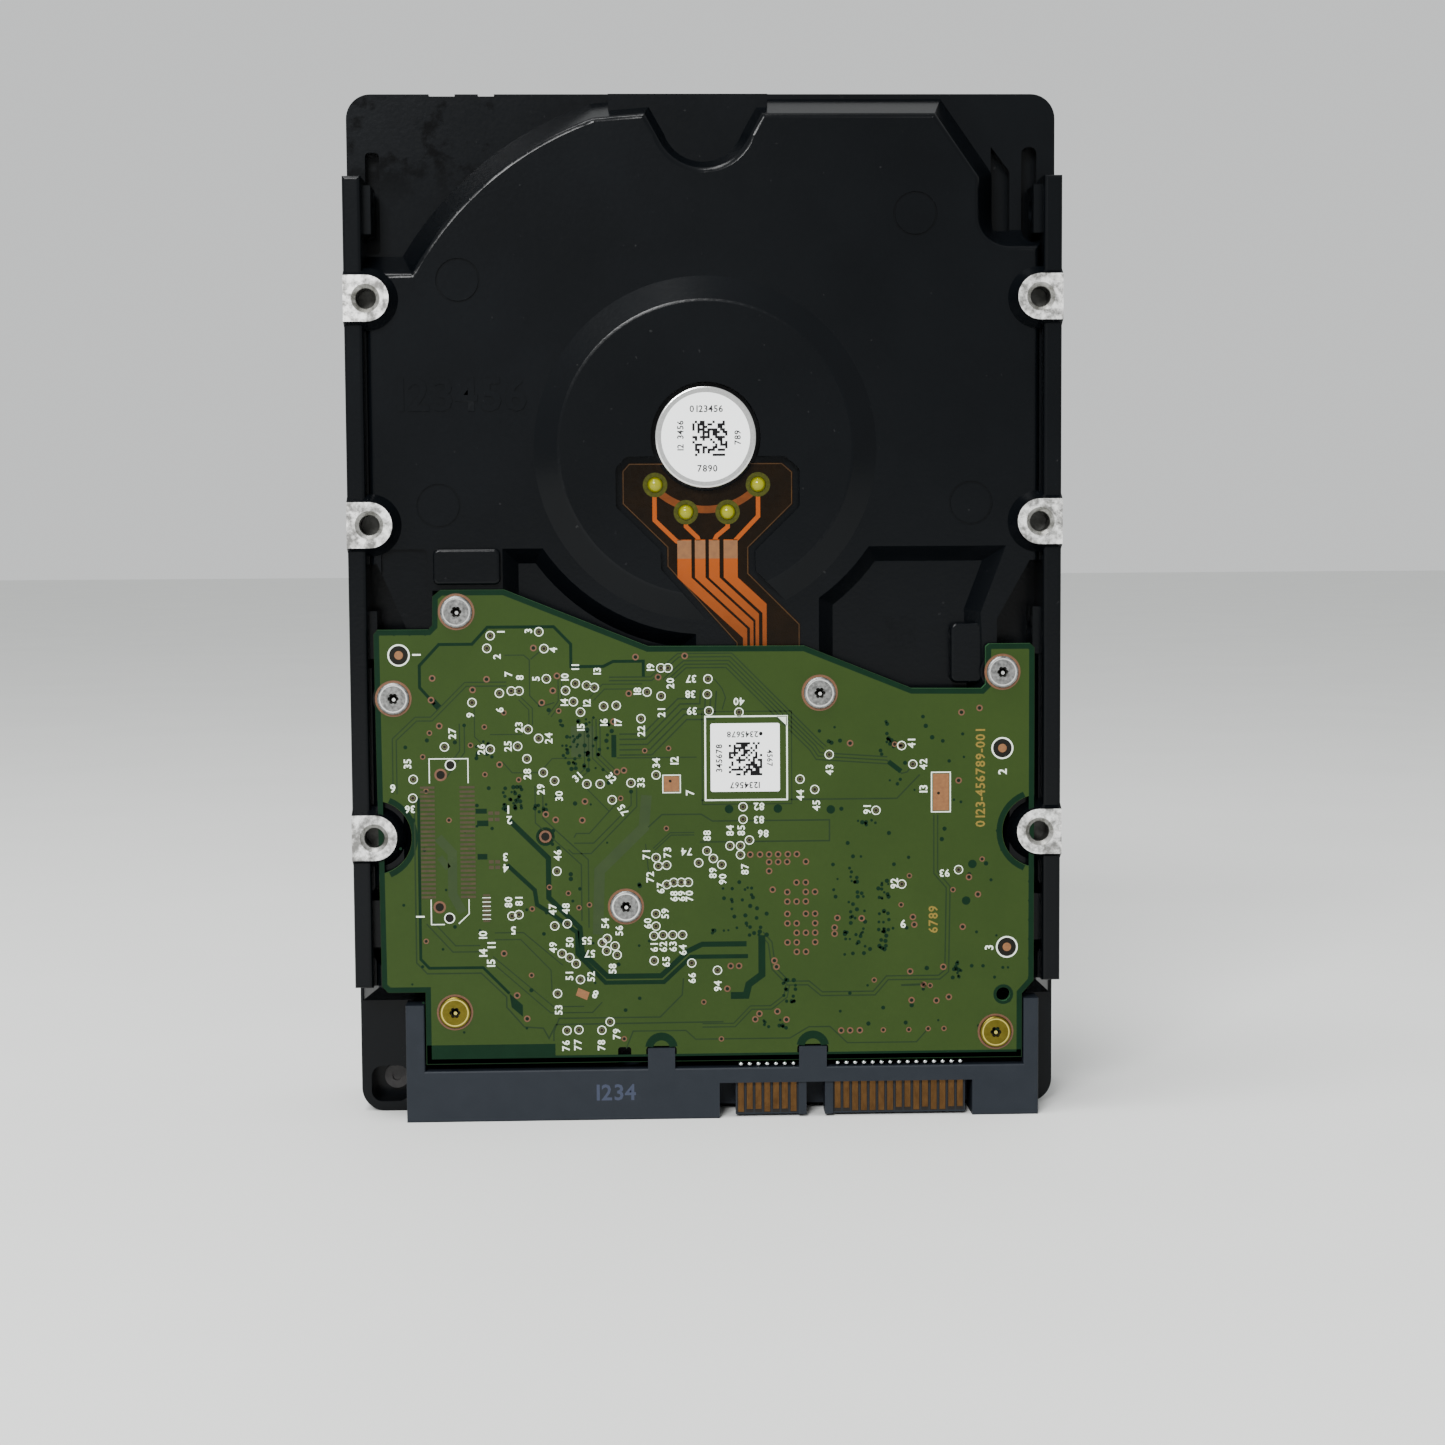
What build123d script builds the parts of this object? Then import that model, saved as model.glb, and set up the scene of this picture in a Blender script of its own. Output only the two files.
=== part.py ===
from build123d import *
import math
import os

# A 3.5-inch sealed hard disk drive with a serial-ATA connector.
#
# It is modelled lying on its cover: X across, Y along the length from the connector end, and Z up
# from the outer face of the cover to the mounting face, the side with the circuit board.
# Places through the thickness are given as a depth below the mounting face.
# On export the drive is stood on its connector end: +Z along the length, the board facing -Y.

# ---------------------------------------------------------------- driving dimensions (mm)
width = 101.6
length = 147.0
thickness = 26.1
corner_radius = 3.5

# levels of the base casting, as depths below the mounting face
motor_disc_depth = 0.5
rail_depth = 1.0
main_depth = 2.2
groove_depth = 3.2
pocket_depth = 4.6
notch_depth = 5.0
flange_depth = 8.5
floor_wall = 1.4
pocket_wall = 1.6

# standard mounting holes (6-32 UNC, minor radius)
mount_hole_radius = 1.38
bottom_hole_x = 47.625
bottom_hole_y = (41.28, 85.73, 117.48)
bottom_hole_length = 4.0
side_hole_y = (28.5, 70.1, 130.1)
side_hole_depth = 6.35
side_hole_length = 3.8
lug_radius = 3.25

# covers and seal
label_film = 0.1
outer_cover_thickness = 0.4
cover_gap = 0.5
inner_cover_thickness = 0.9
gasket_thickness = 0.5
gasket_width = 1.0
rim_wall = 1.0

# spindle and disks
spindle_y = 97.9
disk_count = 8
disk_radius = 47.5
disk_bore = 12.5
disk_thickness = 0.635
disk_pitch = 2.1
first_disk_depth = 7.6
bowl_clearance = 0.5
hub_flange_radius = 16.0
hub_flange_thickness = 1.1
shaft_radius = 2.5
sleeve_radius = 5.0
running_clearance = 0.03
air_gap = 0.3
slip_clearance = 0.05

# actuator
pivot_x = 18.0
pivot_distance = 57.5
arm_reach = 51.0
park_angle = 164.4
arm_thickness = 0.7
arm_hub_radius = 8.0
pivot_sleeve_radius = 5.5
coil_inner = 12.0
coil_outer = 26.5
coil_half_angle = 18.0
coil_depth = 13.9
coil_thickness = 2.4
magnet_gap = 0.4
magnet_thickness = 1.1
yoke_thickness = 1.6
swing_angle = 37.2

# circuit board
board_depth = 0.6
board_thickness = 1.0
board_edge_clearance = 0.9
lug_notch_radius = 5.3
screw_shank = 0.95
screw_hole = 1.0

# serial-ATA connector
contact_pitch = 1.27
first_contact_x = 4.5
signal_contacts = 7
power_contacts = 15
segment_gap = 6.39

# ---------------------------------------------------------------- worked-out values
spindle = (0.0, spindle_y)
pivot_y = spindle_y - math.sqrt(pivot_distance ** 2 - pivot_x ** 2)
pivot = (pivot_x, pivot_y)
board_under = board_depth + board_thickness
bowl_radius = disk_radius + bowl_clearance
last_disk_depth = first_disk_depth + (disk_count - 1) * disk_pitch + disk_thickness
outer_cover_depth = thickness - label_film - outer_cover_thickness
inner_cover_depth = outer_cover_depth - cover_gap - inner_cover_thickness
seat_depth = inner_cover_depth - gasket_thickness
chamber_top = pocket_depth + pocket_wall
bowl_top = first_disk_depth - 0.6
deep_chamber_top = flange_depth + 2.0
disk_gap = disk_pitch - disk_thickness
coil_angle = park_angle - 180.0

MIN_Z = (Align.CENTER, Align.CENTER, Align.MIN)
os.makedirs("parts", exist_ok=True)


# ---------------------------------------------------------------- helpers
def block(x0, x1, y0, y1, top, bottom):
    """Box between two x, two y and two depths."""
    place = Pos((x0 + x1) / 2, (y0 + y1) / 2, thickness - bottom)
    return place * Box(abs(x1 - x0), abs(y1 - y0), bottom - top, align=MIN_Z)


def rod(centre, radius, top, bottom):
    """Round bar along the thickness."""
    return Pos(centre[0], centre[1], thickness - bottom) * Cylinder(radius, bottom - top, align=MIN_Z)


def ring(centre, outer, inner, top, bottom):
    """Tube along the thickness."""
    return rod(centre, outer, top, bottom) - rod(centre, inner, top - 1, bottom + 1)


def slab(face, top, bottom):
    """A flat face drawn at z = 0, given a thickness between two depths."""
    return extrude(Pos(0, 0, thickness - bottom) * face, amount=bottom - top)


def outline(points):
    """Flat face with straight sides."""
    return make_face(Polyline(*points, close=True))


def rounded_rect(x0, x1, y0, y1, radius):
    return Pos((x0 + x1) / 2, (y0 + y1) / 2) * RectangleRounded(x1 - x0, y1 - y0, radius)


def polar(centre, radius, degrees):
    turn = math.radians(degrees)
    return (centre[0] + radius * math.cos(turn), centre[1] + radius * math.sin(turn))


def sector(centre, inner, outer, start, end):
    """Face between two radii and two directions."""
    middle = (start + end) / 2
    lines = Polyline(polar(centre, outer, end), polar(centre, inner, end))
    lines += ThreePointArc(polar(centre, inner, end), polar(centre, inner, middle),
                           polar(centre, inner, start))
    lines += Polyline(polar(centre, inner, start), polar(centre, outer, start))
    lines += ThreePointArc(polar(centre, outer, start), polar(centre, outer, middle),
                           polar(centre, outer, end))
    return make_face(lines)


def on_circle(centre, radius, x=None, y=None, side=1):
    """The point of a circle at a given x or y, on its positive or negative side."""
    if x is not None:
        return (x, centre[1] + side * math.sqrt(radius ** 2 - (x - centre[0]) ** 2))
    return (centre[0] + side * math.sqrt(radius ** 2 - (y - centre[1]) ** 2), y)


def arc_between(start, end, centre):
    """Shorter arc about a centre from one of its points to another."""
    a0 = math.atan2(start[1] - centre[1], start[0] - centre[0])
    a1 = math.atan2(end[1] - centre[1], end[0] - centre[0])
    if a1 - a0 > math.pi:
        a1 -= 2 * math.pi
    if a0 - a1 > math.pi:
        a1 += 2 * math.pi
    radius = math.hypot(start[0] - centre[0], start[1] - centre[1])
    return ThreePointArc(start, polar(centre, radius, math.degrees((a0 + a1) / 2)), end)


def edges_at(solid, depth):
    """Level edges of a solid at one depth."""
    level = thickness - depth
    found = [edge for edge in solid.edges() if abs(edge.center().Z - level) < 1e-3]
    return [edge for edge in found if edge.bounding_box().size.Z < 1e-3]


# ---------------------------------------------------------------- base casting
main_half = width / 2 - 3.4
rail_width = 2.6
rail_inner = width / 2 - rail_width
block_start = 19.5
rail_end = 134.6
bowl_wall_radius = bowl_radius - 0.7
bowl_edge = spindle_y + bowl_wall_radius - 2.0
shoulder_left = bowl_edge - 22.2
shoulder_right = bowl_edge - 18.6
bowl_draft = 26.0
notch_half = 8.4
notch_bottom = bowl_edge - 7.6
terrace_y = 82.3
terrace_radius = 28.0
tongue_left = -1.5
tongue_right = 16.1
tongue_y = 58.5
board_pocket_half = 43.6
board_pocket_y = 22.0
disc_outer = 24.4
disc_inner = 20.9
disc_drop = 1.6
cap_radius = 7.2
cap_bore = cap_radius + 0.6
flex_thickness = 0.2

# four-sided head round the motor cap, a neck, and a tail that runs under the board
flex_points = ((-11.9, 93.2), (-10.9, 94.3), (10.9, 94.3), (12.4, 93.0), (12.4, 88.4), (6.1, 82.2),
               (6.1, 78.6), (13.4, 71.3), (13.4, 63.0), (4.2, 63.0), (4.2, 68.6), (-5.6, 79.6),
               (-5.6, 82.3), (-11.9, 88.5))

board_holes = ((-35.57, 73.42), (-44.65, 61.14), (16.06, 61.48), (42.29, 64.26), (-11.88, 31.0))
connector_holes = ((-36.52, 15.96), (41.38, 12.17))
cover_holes = ((-46.8, 143.0), (46.8, 143.0), (-44.3, 63.0), (44.3, 63.0), (-45.0, 4.1), (0.0, 4.1),
               (45.0, 4.1))
feedthrough_box = (-42.0, -33.4, 31.7, 48.3)
corner_screw_place = (-46.0, 4.4)


def bowl_face():
    """Outline of the raised bowl at the main level, with the notch at the head end."""
    tip = on_circle(spindle, bowl_wall_radius, y=shoulder_left, side=-1)
    crown = on_circle(spindle, bowl_wall_radius, y=bowl_edge - 0.6, side=-1)
    side_y = bowl_edge - 2.8
    step = notch_half - 1.6
    corner = 4.5
    inner_x = main_half - 8.5
    bend = (inner_x + corner * (1 - math.sqrt(0.5)), shoulder_right + corner * (1 - math.sqrt(0.5)))
    lines = Polyline((-main_half, block_start), (-main_half, shoulder_left), tip)
    lines += arc_between(tip, crown, spindle)
    lines += Polyline(crown, (-notch_half, bowl_edge), (-step, side_y))
    lines += ThreePointArc((-step, side_y), (0, notch_bottom), (step, side_y))
    lines += Polyline((step, side_y), (notch_half, bowl_edge), (32.7, bowl_edge),
                      (inner_x, bowl_edge - 8.8), (inner_x, shoulder_right + corner))
    lines += ThreePointArc((inner_x, shoulder_right + corner), bend,
                           (inner_x + corner, shoulder_right))
    lines += Polyline((inner_x + corner, shoulder_right), (main_half, shoulder_right),
                      (main_half, block_start), (-main_half, block_start))
    return make_face(lines)


def terrace_face():
    """Outline of the sunken floor that clears the parts under the circuit board."""
    left_arc = on_circle(spindle, terrace_radius, y=terrace_y, side=-1)
    left_foot = on_circle(spindle, terrace_radius, x=tongue_left, side=-1)
    right_foot = on_circle(spindle, terrace_radius, x=tongue_right, side=-1)
    right_arc = on_circle(spindle, terrace_radius, y=terrace_y)
    lines = Polyline((-29.0, terrace_y), left_arc)
    lines += arc_between(left_arc, left_foot, spindle)
    lines += Polyline(left_foot, (tongue_left, tongue_y), (tongue_right, tongue_y), right_foot)
    lines += arc_between(right_foot, right_arc, spindle)
    lines += Polyline(right_arc, (43.0, terrace_y), (39.4, 72.8), (39.9, 60.0), (board_pocket_half, 60.0),
                      (board_pocket_half, board_pocket_y), (-board_pocket_half, board_pocket_y),
                      (-board_pocket_half, 58.0), (-39.0, 58.0), (-39.0, 76.4), (-29.0, 76.4),
                      (-29.0, terrace_y))
    return make_face(lines)


def lug(x, y):
    """Mounting lug: a machined half-round face on a flared foot."""
    side = 1 if x > 0 else -1
    edge = side * width / 2
    top = Pos(x, y) * Circle(lug_radius)
    top += Pos((x + edge) / 2, y) * Rectangle(abs(edge - x), 2 * lug_radius)
    foot = extrude(Pos(0, 0, thickness - 0.2) * top, amount=-(main_depth - 0.2), taper=-30)
    limit = block(-width / 2, width / 2, y - 12, y + 12, -1, flange_depth + 1)
    return (slab(top, 0, flange_depth) + foot) & limit


def side_pockets():
    """Recesses behind the rails that give the side screws room."""
    inner = rail_inner
    top_left = slab(rounded_rect(-inner, -46.2, 124.4, 138.8, 0.6), 0, 11.0)
    top_right = slab(rounded_rect(46.0, inner, 125.5, 139.5, 1.0), 0, 11.0)
    chute = slab(outline([(41.6, 127.4), (44.3, 127.4), (44.3, 136.0), (41.6, 139.5)]), 0, 11.0)
    mid_right = slab(outline([(inner, 80.2), (46.4, 80.2), (41.7, 71.8), (41.7, 66.6), (inner, 66.6)]),
                     0, 9.2)
    mid_left = slab(outline([(-inner, 80.2), (-46.8, 80.2), (-42.4, 70.0), (-42.4, 65.4),
                             (-inner, 65.4)]), 0, 9.2)
    low_left = slab(rounded_rect(-inner, -42.0, 22.6, 34.4, 1.5), 0, 9.2)
    low_right = slab(rounded_rect(42.0, inner, 22.6, 34.4, 1.5), 0, 9.2)
    return [top_left, top_right, chute, mid_right, mid_left, low_left, low_right]


def casting_outside():
    """Everything of the casting that is seen from the mounting face and the sides."""
    plan = Pos(0, length / 2) * RectangleRounded(width, length, corner_radius)
    body = slab(plan, flange_depth, thickness - label_film - outer_cover_thickness)
    bowl = extrude(Pos(0, 0, thickness - main_depth) * bowl_face(), amount=-(flange_depth - main_depth),
                   taper=-bowl_draft)
    bowl = fillet(edges_at(bowl, main_depth), 0.8)
    plan_prism = slab(plan, -1, thickness)
    body += bowl & plan_prism
    body += block(-width / 2, width / 2, block_start, shoulder_left - 2, groove_depth, flange_depth)
    body += block(-notch_half - 5, notch_half + 0.8, notch_bottom - 1, bowl_edge + 3.3, notch_depth,
                  flange_depth)
    terrace = extrude(Pos(0, 0, thickness - main_depth) * terrace_face(),
                      amount=-(pocket_depth - main_depth), taper=42)
    body -= terrace
    shelf = slab(rounded_rect(-46.2, -39.6, 64.8, terrace_y, 0.8), 0, main_depth + 0.7)
    body -= shelf
    for pocket in side_pockets():
        body -= pocket

    dome = Cone(disc_outer, disc_inner, main_depth - motor_disc_depth, align=MIN_Z)
    dome = Pos(0, spindle_y - disc_drop, thickness - main_depth) * dome
    dome = fillet(edges_at(dome, motor_disc_depth), 0.9)
    body += dome
    flex_bed = offset(outline(flex_points), amount=board_edge_clearance)
    body -= slab(flex_bed, 0, main_depth)

    for side in (-1, 1):
        outer = side * width / 2
        rail = block(side * rail_inner, outer, block_start, rail_end, rail_depth, flange_depth)
        rail = fillet(edges_at(rail, rail_depth), 0.5)
        body += rail
        for y in side_hole_y:
            reach = outer - side * side_hole_length
            body += block(reach, outer, y - 3.4, y + 3.4, side_hole_depth - 3.2, side_hole_depth + 3.2)
        for y in bottom_hole_y:
            body += lug(side * bottom_hole_x, y)

    # upstand beside the left board screw, and the raised pad at the right
    upstand = slab(rounded_rect(-38.8, -29.3, 77.2, terrace_y, 0.8), main_depth - 1.0, pocket_depth)
    body += fillet(edges_at(upstand, main_depth - 1.0), 0.45)
    pad = slab(rounded_rect(35.1, 39.7, 62.6, 71.2, 0.9), main_depth + 0.3, pocket_depth)
    body += fillet(edges_at(pad, main_depth + 0.3), 0.4)

    for place in board_holes:
        body += rod(place, 3.0, board_under, pocket_depth + 0.3)
    for place in connector_holes:
        body += rod(place, 3.0, board_under, flange_depth + 0.3)
    for place in ((-34.8, 120.1), (30.0, 129.3), (-37.9, 88.4), (37.9, 88.4)):
        body -= ring(place, 3.15, 2.85, main_depth - 1, main_depth + 0.2)

    # shallow dip with a bump in the head-end edge, and the corner pocket by the connector
    body -= block(-39.0, -29.7, length - 0.3, length + 1, 0, thickness)
    body += block(-35.3, -32.0, length - 0.5, length, flange_depth, thickness - 1.0)
    body -= slab(rounded_rect(-49.4, -43.9, 1.4, 6.7, 1.6), 0, 13.0)
    return body


def chamber_plan(radius, half, low, shelf_left):
    """Plan of the sealed chamber: the disk bowl and the actuator bay."""
    plan = Pos(*spindle) * Circle(radius)
    plan += Pos(0, (low + 58.0) / 2) * Rectangle(2 * half, 58.0 - low)
    plan += Pos((shelf_left - 4.0) / 2, 60.0) * Rectangle(abs(shelf_left) - 4.0, 12.0)
    return plan


def base_casting():
    body = casting_outside()
    opening = Pos(0, length / 2) * RectangleRounded(width - 2 * rim_wall, length - 1.3,
                                                    corner_radius - rim_wall)
    body -= slab(opening, seat_depth, thickness)
    body -= slab(chamber_plan(bowl_radius - 1.6, 40.0, board_pocket_y, -40.0), chamber_top, bowl_top)
    body -= slab(chamber_plan(bowl_radius, 40.0, board_pocket_y, -40.0), bowl_top, deep_chamber_top)
    body -= slab(chamber_plan(bowl_radius, 47.8, 8.0, -40.0), deep_chamber_top, seat_depth)
    body -= slab(rounded_rect(34.0, 43.6, 128.0, 141.6, 1.0), 12.6, seat_depth)

    # shallow dome of the bowl, above the disks
    dome_top = main_depth + floor_wall
    dome = Pos(*spindle) * Circle(bowl_radius - 3.0)
    dome &= Pos(0, 85.0 + 50.0) * Rectangle(200.0, 100.0)
    dome -= Pos(0, length) * Rectangle(2 * notch_half + 6.0, 2 * (length - notch_bottom) + 5.0)
    body -= slab(dome, dome_top, chamber_top)

    # seat of the motor: floor, bearing boss, cap bore and shaft hole
    body += rod(spindle, 8.6, main_depth, dome_top + 0.8)
    body += ring(spindle, sleeve_radius + air_gap + 0.9, sleeve_radius + air_gap, dome_top, 12.0)
    body -= rod(spindle, cap_bore, -1, main_depth + 0.4)
    body -= rod(spindle, shaft_radius, main_depth, dome_top + 0.8)

    for side in (-1, 1):
        for y in bottom_hole_y:
            place = (side * bottom_hole_x, y)
            body -= rod(place, mount_hole_radius, -1, bottom_hole_length)
            sink = Pos(*place, thickness - 0.6) * Cone(mount_hole_radius, mount_hole_radius + 0.62, 0.6,
                                                       align=MIN_Z)
            body -= sink
        for y in side_hole_y:
            drill = Cylinder(mount_hole_radius, 2 * side_hole_length + 0.4)
            body -= Pos(side * width / 2, y, thickness - side_hole_depth) * Rot(0, 90, 0) * drill
    for place in board_holes + connector_holes:
        body -= rod(place, screw_hole, board_under - 1, 5.6)
    for place in cover_holes:
        body -= rod(place, screw_hole, seat_depth - 5.0, thickness)
    body -= rod(corner_screw_place, screw_hole, 12.0, 16.0)
    x0, x1, y0, y1 = feedthrough_box
    body -= block(x0 - 0.1, x1 + 0.1, y0 - 0.1, y1 + 0.1, pocket_depth - 1, 7.1)
    return body


# ---------------------------------------------------------------- covers, gasket and their screws
def inner_cover():
    clear = rim_wall + 0.15
    plan = Pos(0, length / 2) * RectangleRounded(width - 2 * clear, length - 1.6, corner_radius - clear)
    plate = slab(plan, inner_cover_depth, inner_cover_depth + inner_cover_thickness)
    for place in cover_holes + (spindle, pivot):
        plate -= rod(place, screw_hole, 0, thickness)
    return plate


def outer_cover():
    inset = 0.3
    plan = Pos(0, length / 2) * RectangleRounded(width - 2 * inset, length - 2 * inset,
                                                 corner_radius - inset)
    return slab(plan, outer_cover_depth, outer_cover_depth + outer_cover_thickness)


def cover_label():
    plan = rounded_rect(-42.0, 42.0, 16.0, 131.0, 2.0)
    return slab(plan, thickness - label_film, thickness)


def cover_gasket():
    plan = chamber_plan(bowl_radius, 47.8, 8.0, -40.0)
    band = offset(plan, amount=gasket_width) - plan
    opening = Pos(0, length / 2) * RectangleRounded(width - 2 * rim_wall - 0.3, length - 1.6, 2.0)
    return slab(band & opening, seat_depth, inner_cover_depth)


def wafer_screw(place, seat, tip, head=1.9, head_height=0.42):
    """Low-headed machine screw whose head faces the cover."""
    screw = rod(place, head, seat, seat + head_height) + rod(place, screw_shank, tip, seat)
    return screw - rod(place, 0.7, seat + 0.15, seat + 1)


def cover_screws():
    seat = inner_cover_depth + inner_cover_thickness
    screws = [wafer_screw(place, seat, inner_cover_depth - 3.0) for place in (spindle, pivot)]
    screws += [wafer_screw(place, seat, seat_depth - 4.0) for place in cover_holes]
    return Compound(children=screws)


# ---------------------------------------------------------------- circuit board and connector
board_low = 8.4
board_points = ((-39.0, 71.5), (-38.9, 75.6), (-37.8, 76.5), (-28.8, 76.5), (-8.4, 68.3), (13.9, 68.2),
                (29.3, 62.0), (39.3, 61.9), (39.9, 62.5), (39.9, 67.9), (40.4, 68.3), (46.3, 68.3),
                (46.9, 67.7), (46.9, 19.6), (45.2, 17.7), (45.2, board_low), (-40.7, board_low),
                (-40.7, 18.9), (-46.0, 18.9), (-46.9, 19.8), (-47.3, 70.3), (-46.8, 70.9), (-39.6, 70.9))
tab_places = ((-8.9, -5.0), (12.9, 16.9))
housing_top = 7.4
arm_top = 17.0
recess_left = 1.4
recess_right = 38.0
recess_top = 5.2
tongue_top = 1.3
tongue_thickness = 1.3
power_start_x = first_contact_x + (signal_contacts - 1) * contact_pitch + segment_gap
long_signal = (0, 3, 6)
long_power = (2, 3, 4, 5, 6, 9, 11, 12)


def circuit_board():
    plan = outline(board_points)
    for side in (-1, 1):
        plan -= Pos(side * bottom_hole_x, bottom_hole_y[0]) * Circle(lug_notch_radius)
    for place in board_holes + connector_holes:
        plan -= Pos(*place) * Circle(screw_hole + 0.15)
    for left, right in tab_places:
        plan -= rounded_rect(left - 0.25, right + 0.25, board_low - 1, 10.7, 0.6)
    plan -= rounded_rect(-13.2, -11.3, board_low - 1, 10.6, 0.4)
    plan -= Pos(-23.3, 41.2) * Circle(1.0)
    plan -= Pos(42.5, 17.6) * Circle(1.0)
    return slab(plan, board_depth, board_under)


def board_label():
    return slab(rounded_rect(0.4, 10.3, 47.4, 57.2, 0.3), board_depth - 0.06, board_depth)


def board_screw(place):
    head = rod(place, 2.3, board_depth - 0.5, board_depth)
    head = fillet(edges_at(head, board_depth - 0.5), 0.3)
    star = Circle(0.5)
    for turn in range(6):
        star += Pos(*polar((0, 0), 0.5, 60 * turn)) * Circle(0.3)
    socket = slab(Pos(*place) * star, -0.5, board_depth)
    return head + rod(place, screw_shank, board_depth, 5.3) - socket


def board_screws():
    return Compound(children=[board_screw(place) for place in board_holes])


def connector_screws():
    return Compound(children=[board_screw(place) for place in connector_holes])


def segment(start_x, count):
    """Ends of a contact tongue that carries a row of contacts."""
    return start_x - 0.75, start_x + (count - 1) * contact_pitch + 0.75


def connector_housing():
    left, right = -43.6, 47.6
    body = block(left, right, 0, housing_top, 0.4, 7.4)
    body += block(left, -40.9, 0, arm_top, 0.4, 5.0)
    body += block(45.4, right, 0, arm_top, 0.4, 5.0)
    body = fillet([edge for edge in edges_at(body, 0.4) if edge.length > 5], 0.25)
    body -= block(recess_left, recess_right, -1, recess_top, 0, 6.2)
    body -= block(recess_left, recess_right, -1, 0.9, 0, 8)
    for start_x, count in ((first_contact_x, signal_contacts), (power_start_x, power_contacts)):
        x0, x1 = segment(start_x, count)
        body += block(x0, x1, 0.4, recess_top, tongue_top, tongue_top + tongue_thickness)
    signal_end = segment(first_contact_x, signal_contacts)[1]
    power_end = segment(power_start_x, power_contacts)[0]
    body += block(signal_end - 0.05, signal_end + 1.1, 0.4, recess_top, tongue_top - 0.5, 3.9)
    body += block(power_end - 1.1, power_end + 0.05, 0.4, recess_top, tongue_top - 0.5, 3.9)
    for x0, x1 in tab_places:
        body += block(x0, x1, housing_top - 0.5, 10.4, 0.4, board_under)
    return body


def contact_places():
    """Centre x and free-end y of every contact."""
    places = []
    for index in range(signal_contacts):
        places.append((first_contact_x + index * contact_pitch, 0.75 if index in long_signal else 1.15))
    for index in range(power_contacts):
        places.append((power_start_x + index * contact_pitch, 0.75 if index in long_power else 1.15))
    return places


def connector_contacts():
    pins = [block(x - 0.42, x + 0.42, y, recess_top, tongue_top - 0.12, tongue_top)
            for x, y in contact_places()]
    return Compound(children=pins)


def connector_tails():
    tails = [Pos(x, housing_top + 0.42, thickness - 1.1) * Sphere(0.36) for x, _ in contact_places()]
    return Compound(children=tails)


def board_insulator():
    sheet = slab(rounded_rect(-31.5, 40.5, 25.0, 55.0, 2.0), pocket_depth - 0.15, pocket_depth)
    for place in board_holes:
        sheet -= rod(place, 3.4, 0, thickness)
    return sheet


def chip(x, y, size_x, size_y, height):
    return block(x - size_x / 2, x + size_x / 2, y - size_y / 2, y + size_y / 2,
                 board_under, board_under + height)


def small_components():
    """Chokes, capacitors and resistors on the hidden side of the board."""
    parts = []
    for row in range(3):
        for column in range(8):
            size = 1.0 + 0.5 * (row == 1)
            parts.append(chip(-27.0 + 3.4 * column, 49.5 + 2.6 * row, size, 0.8 * size, 0.7))
    for column in range(4):
        parts.append(chip(24.0 + 4.5 * column, 50.5, 3.2, 3.0, 1.5))
    return Compound(children=parts)


def feedthrough_connector():
    x0, x1, y0, y1 = feedthrough_box
    body = block(x0, x1, y0, y1, board_under + 0.1, 7.0)
    return body - block(x0 + 2.4, x1 - 2.4, y0 + 1.2, y1 - 1.2, 0, 3.2)


# ---------------------------------------------------------------- spindle motor
stator_top = 7.5
stator_bottom = 10.5
tooth_count = 9
tooth_reach = 10.2
skirt_top = 5.2
skirt_bottom = 13.2
back_iron_outer = 11.85
magnet_outer = 11.25
hub_radius = disk_bore - slip_clearance
clamp_radius = 15.5
clamp_thickness = 0.75
solder_places = ((-7.2, 91.2), (-2.85, 87.3), (3.1, 87.3), (7.45, 91.2))


def motor_flex():
    plan = outline(flex_points) - Pos(*spindle) * Circle(cap_bore - 0.2)
    return slab(plan, main_depth - flex_thickness, main_depth)


def motor_solder_joints():
    level = main_depth - flex_thickness
    joints = []
    for x, y in solder_places:
        ball = Pos(x, y, thickness - level - 0.45) * Sphere(1.25)
        joints.append(ball & block(x - 2, x + 2, y - 2, y + 2, 0, level))
    return Compound(children=joints)


def motor_end_cap():
    cap = rod(spindle, cap_radius, motor_disc_depth - 0.15, main_depth + 0.4)
    return fillet(edges_at(cap, motor_disc_depth - 0.15), 0.3)


def motor_label():
    return rod(spindle, cap_radius - 0.9, motor_disc_depth - 0.2, motor_disc_depth - 0.15)


def stator_core():
    bore = sleeve_radius + air_gap + 0.9
    plan = Circle(bore + 1.0)
    for index in range(tooth_count):
        turn = 360.0 / tooth_count * index
        tooth = Pos((bore + tooth_reach) / 2, 0) * Rectangle(tooth_reach - bore - 0.2, 1.1)
        shoe = sector((0, 0), tooth_reach - 0.6, tooth_reach, -12, 12)
        plan += Rot(0, 0, turn) * (tooth + shoe)
    plan -= Circle(bore + slip_clearance)
    return slab(Pos(*spindle) * plan, stator_top, stator_bottom)


def stator_coils():
    bore = sleeve_radius + air_gap + 0.9
    coils = []
    for index in range(tooth_count):
        turn = Rot(0, 0, 360.0 / tooth_count * index)
        place = Pos((bore + 1.05 + tooth_reach - 0.65) / 2, 0, 0)
        span = tooth_reach - 0.65 - bore - 1.1
        height = stator_bottom - stator_top
        coil = Box(span, 2.1, height + 1.0) - Box(span + 1, 1.14, height + 0.04)
        coils.append(Pos(*spindle, thickness - (stator_top + stator_bottom) / 2) * turn * place * coil)
    return Compound(children=coils)


def spindle_shaft():
    return rod(spindle, shaft_radius - 0.005, main_depth + 0.42, inner_cover_depth - 0.02) - rod(
        spindle, screw_hole, inner_cover_depth - 4.0, thickness)


def bearing_sleeve():
    return ring(spindle, sleeve_radius, shaft_radius + running_clearance, 4.9, last_disk_depth + 0.2)


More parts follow.
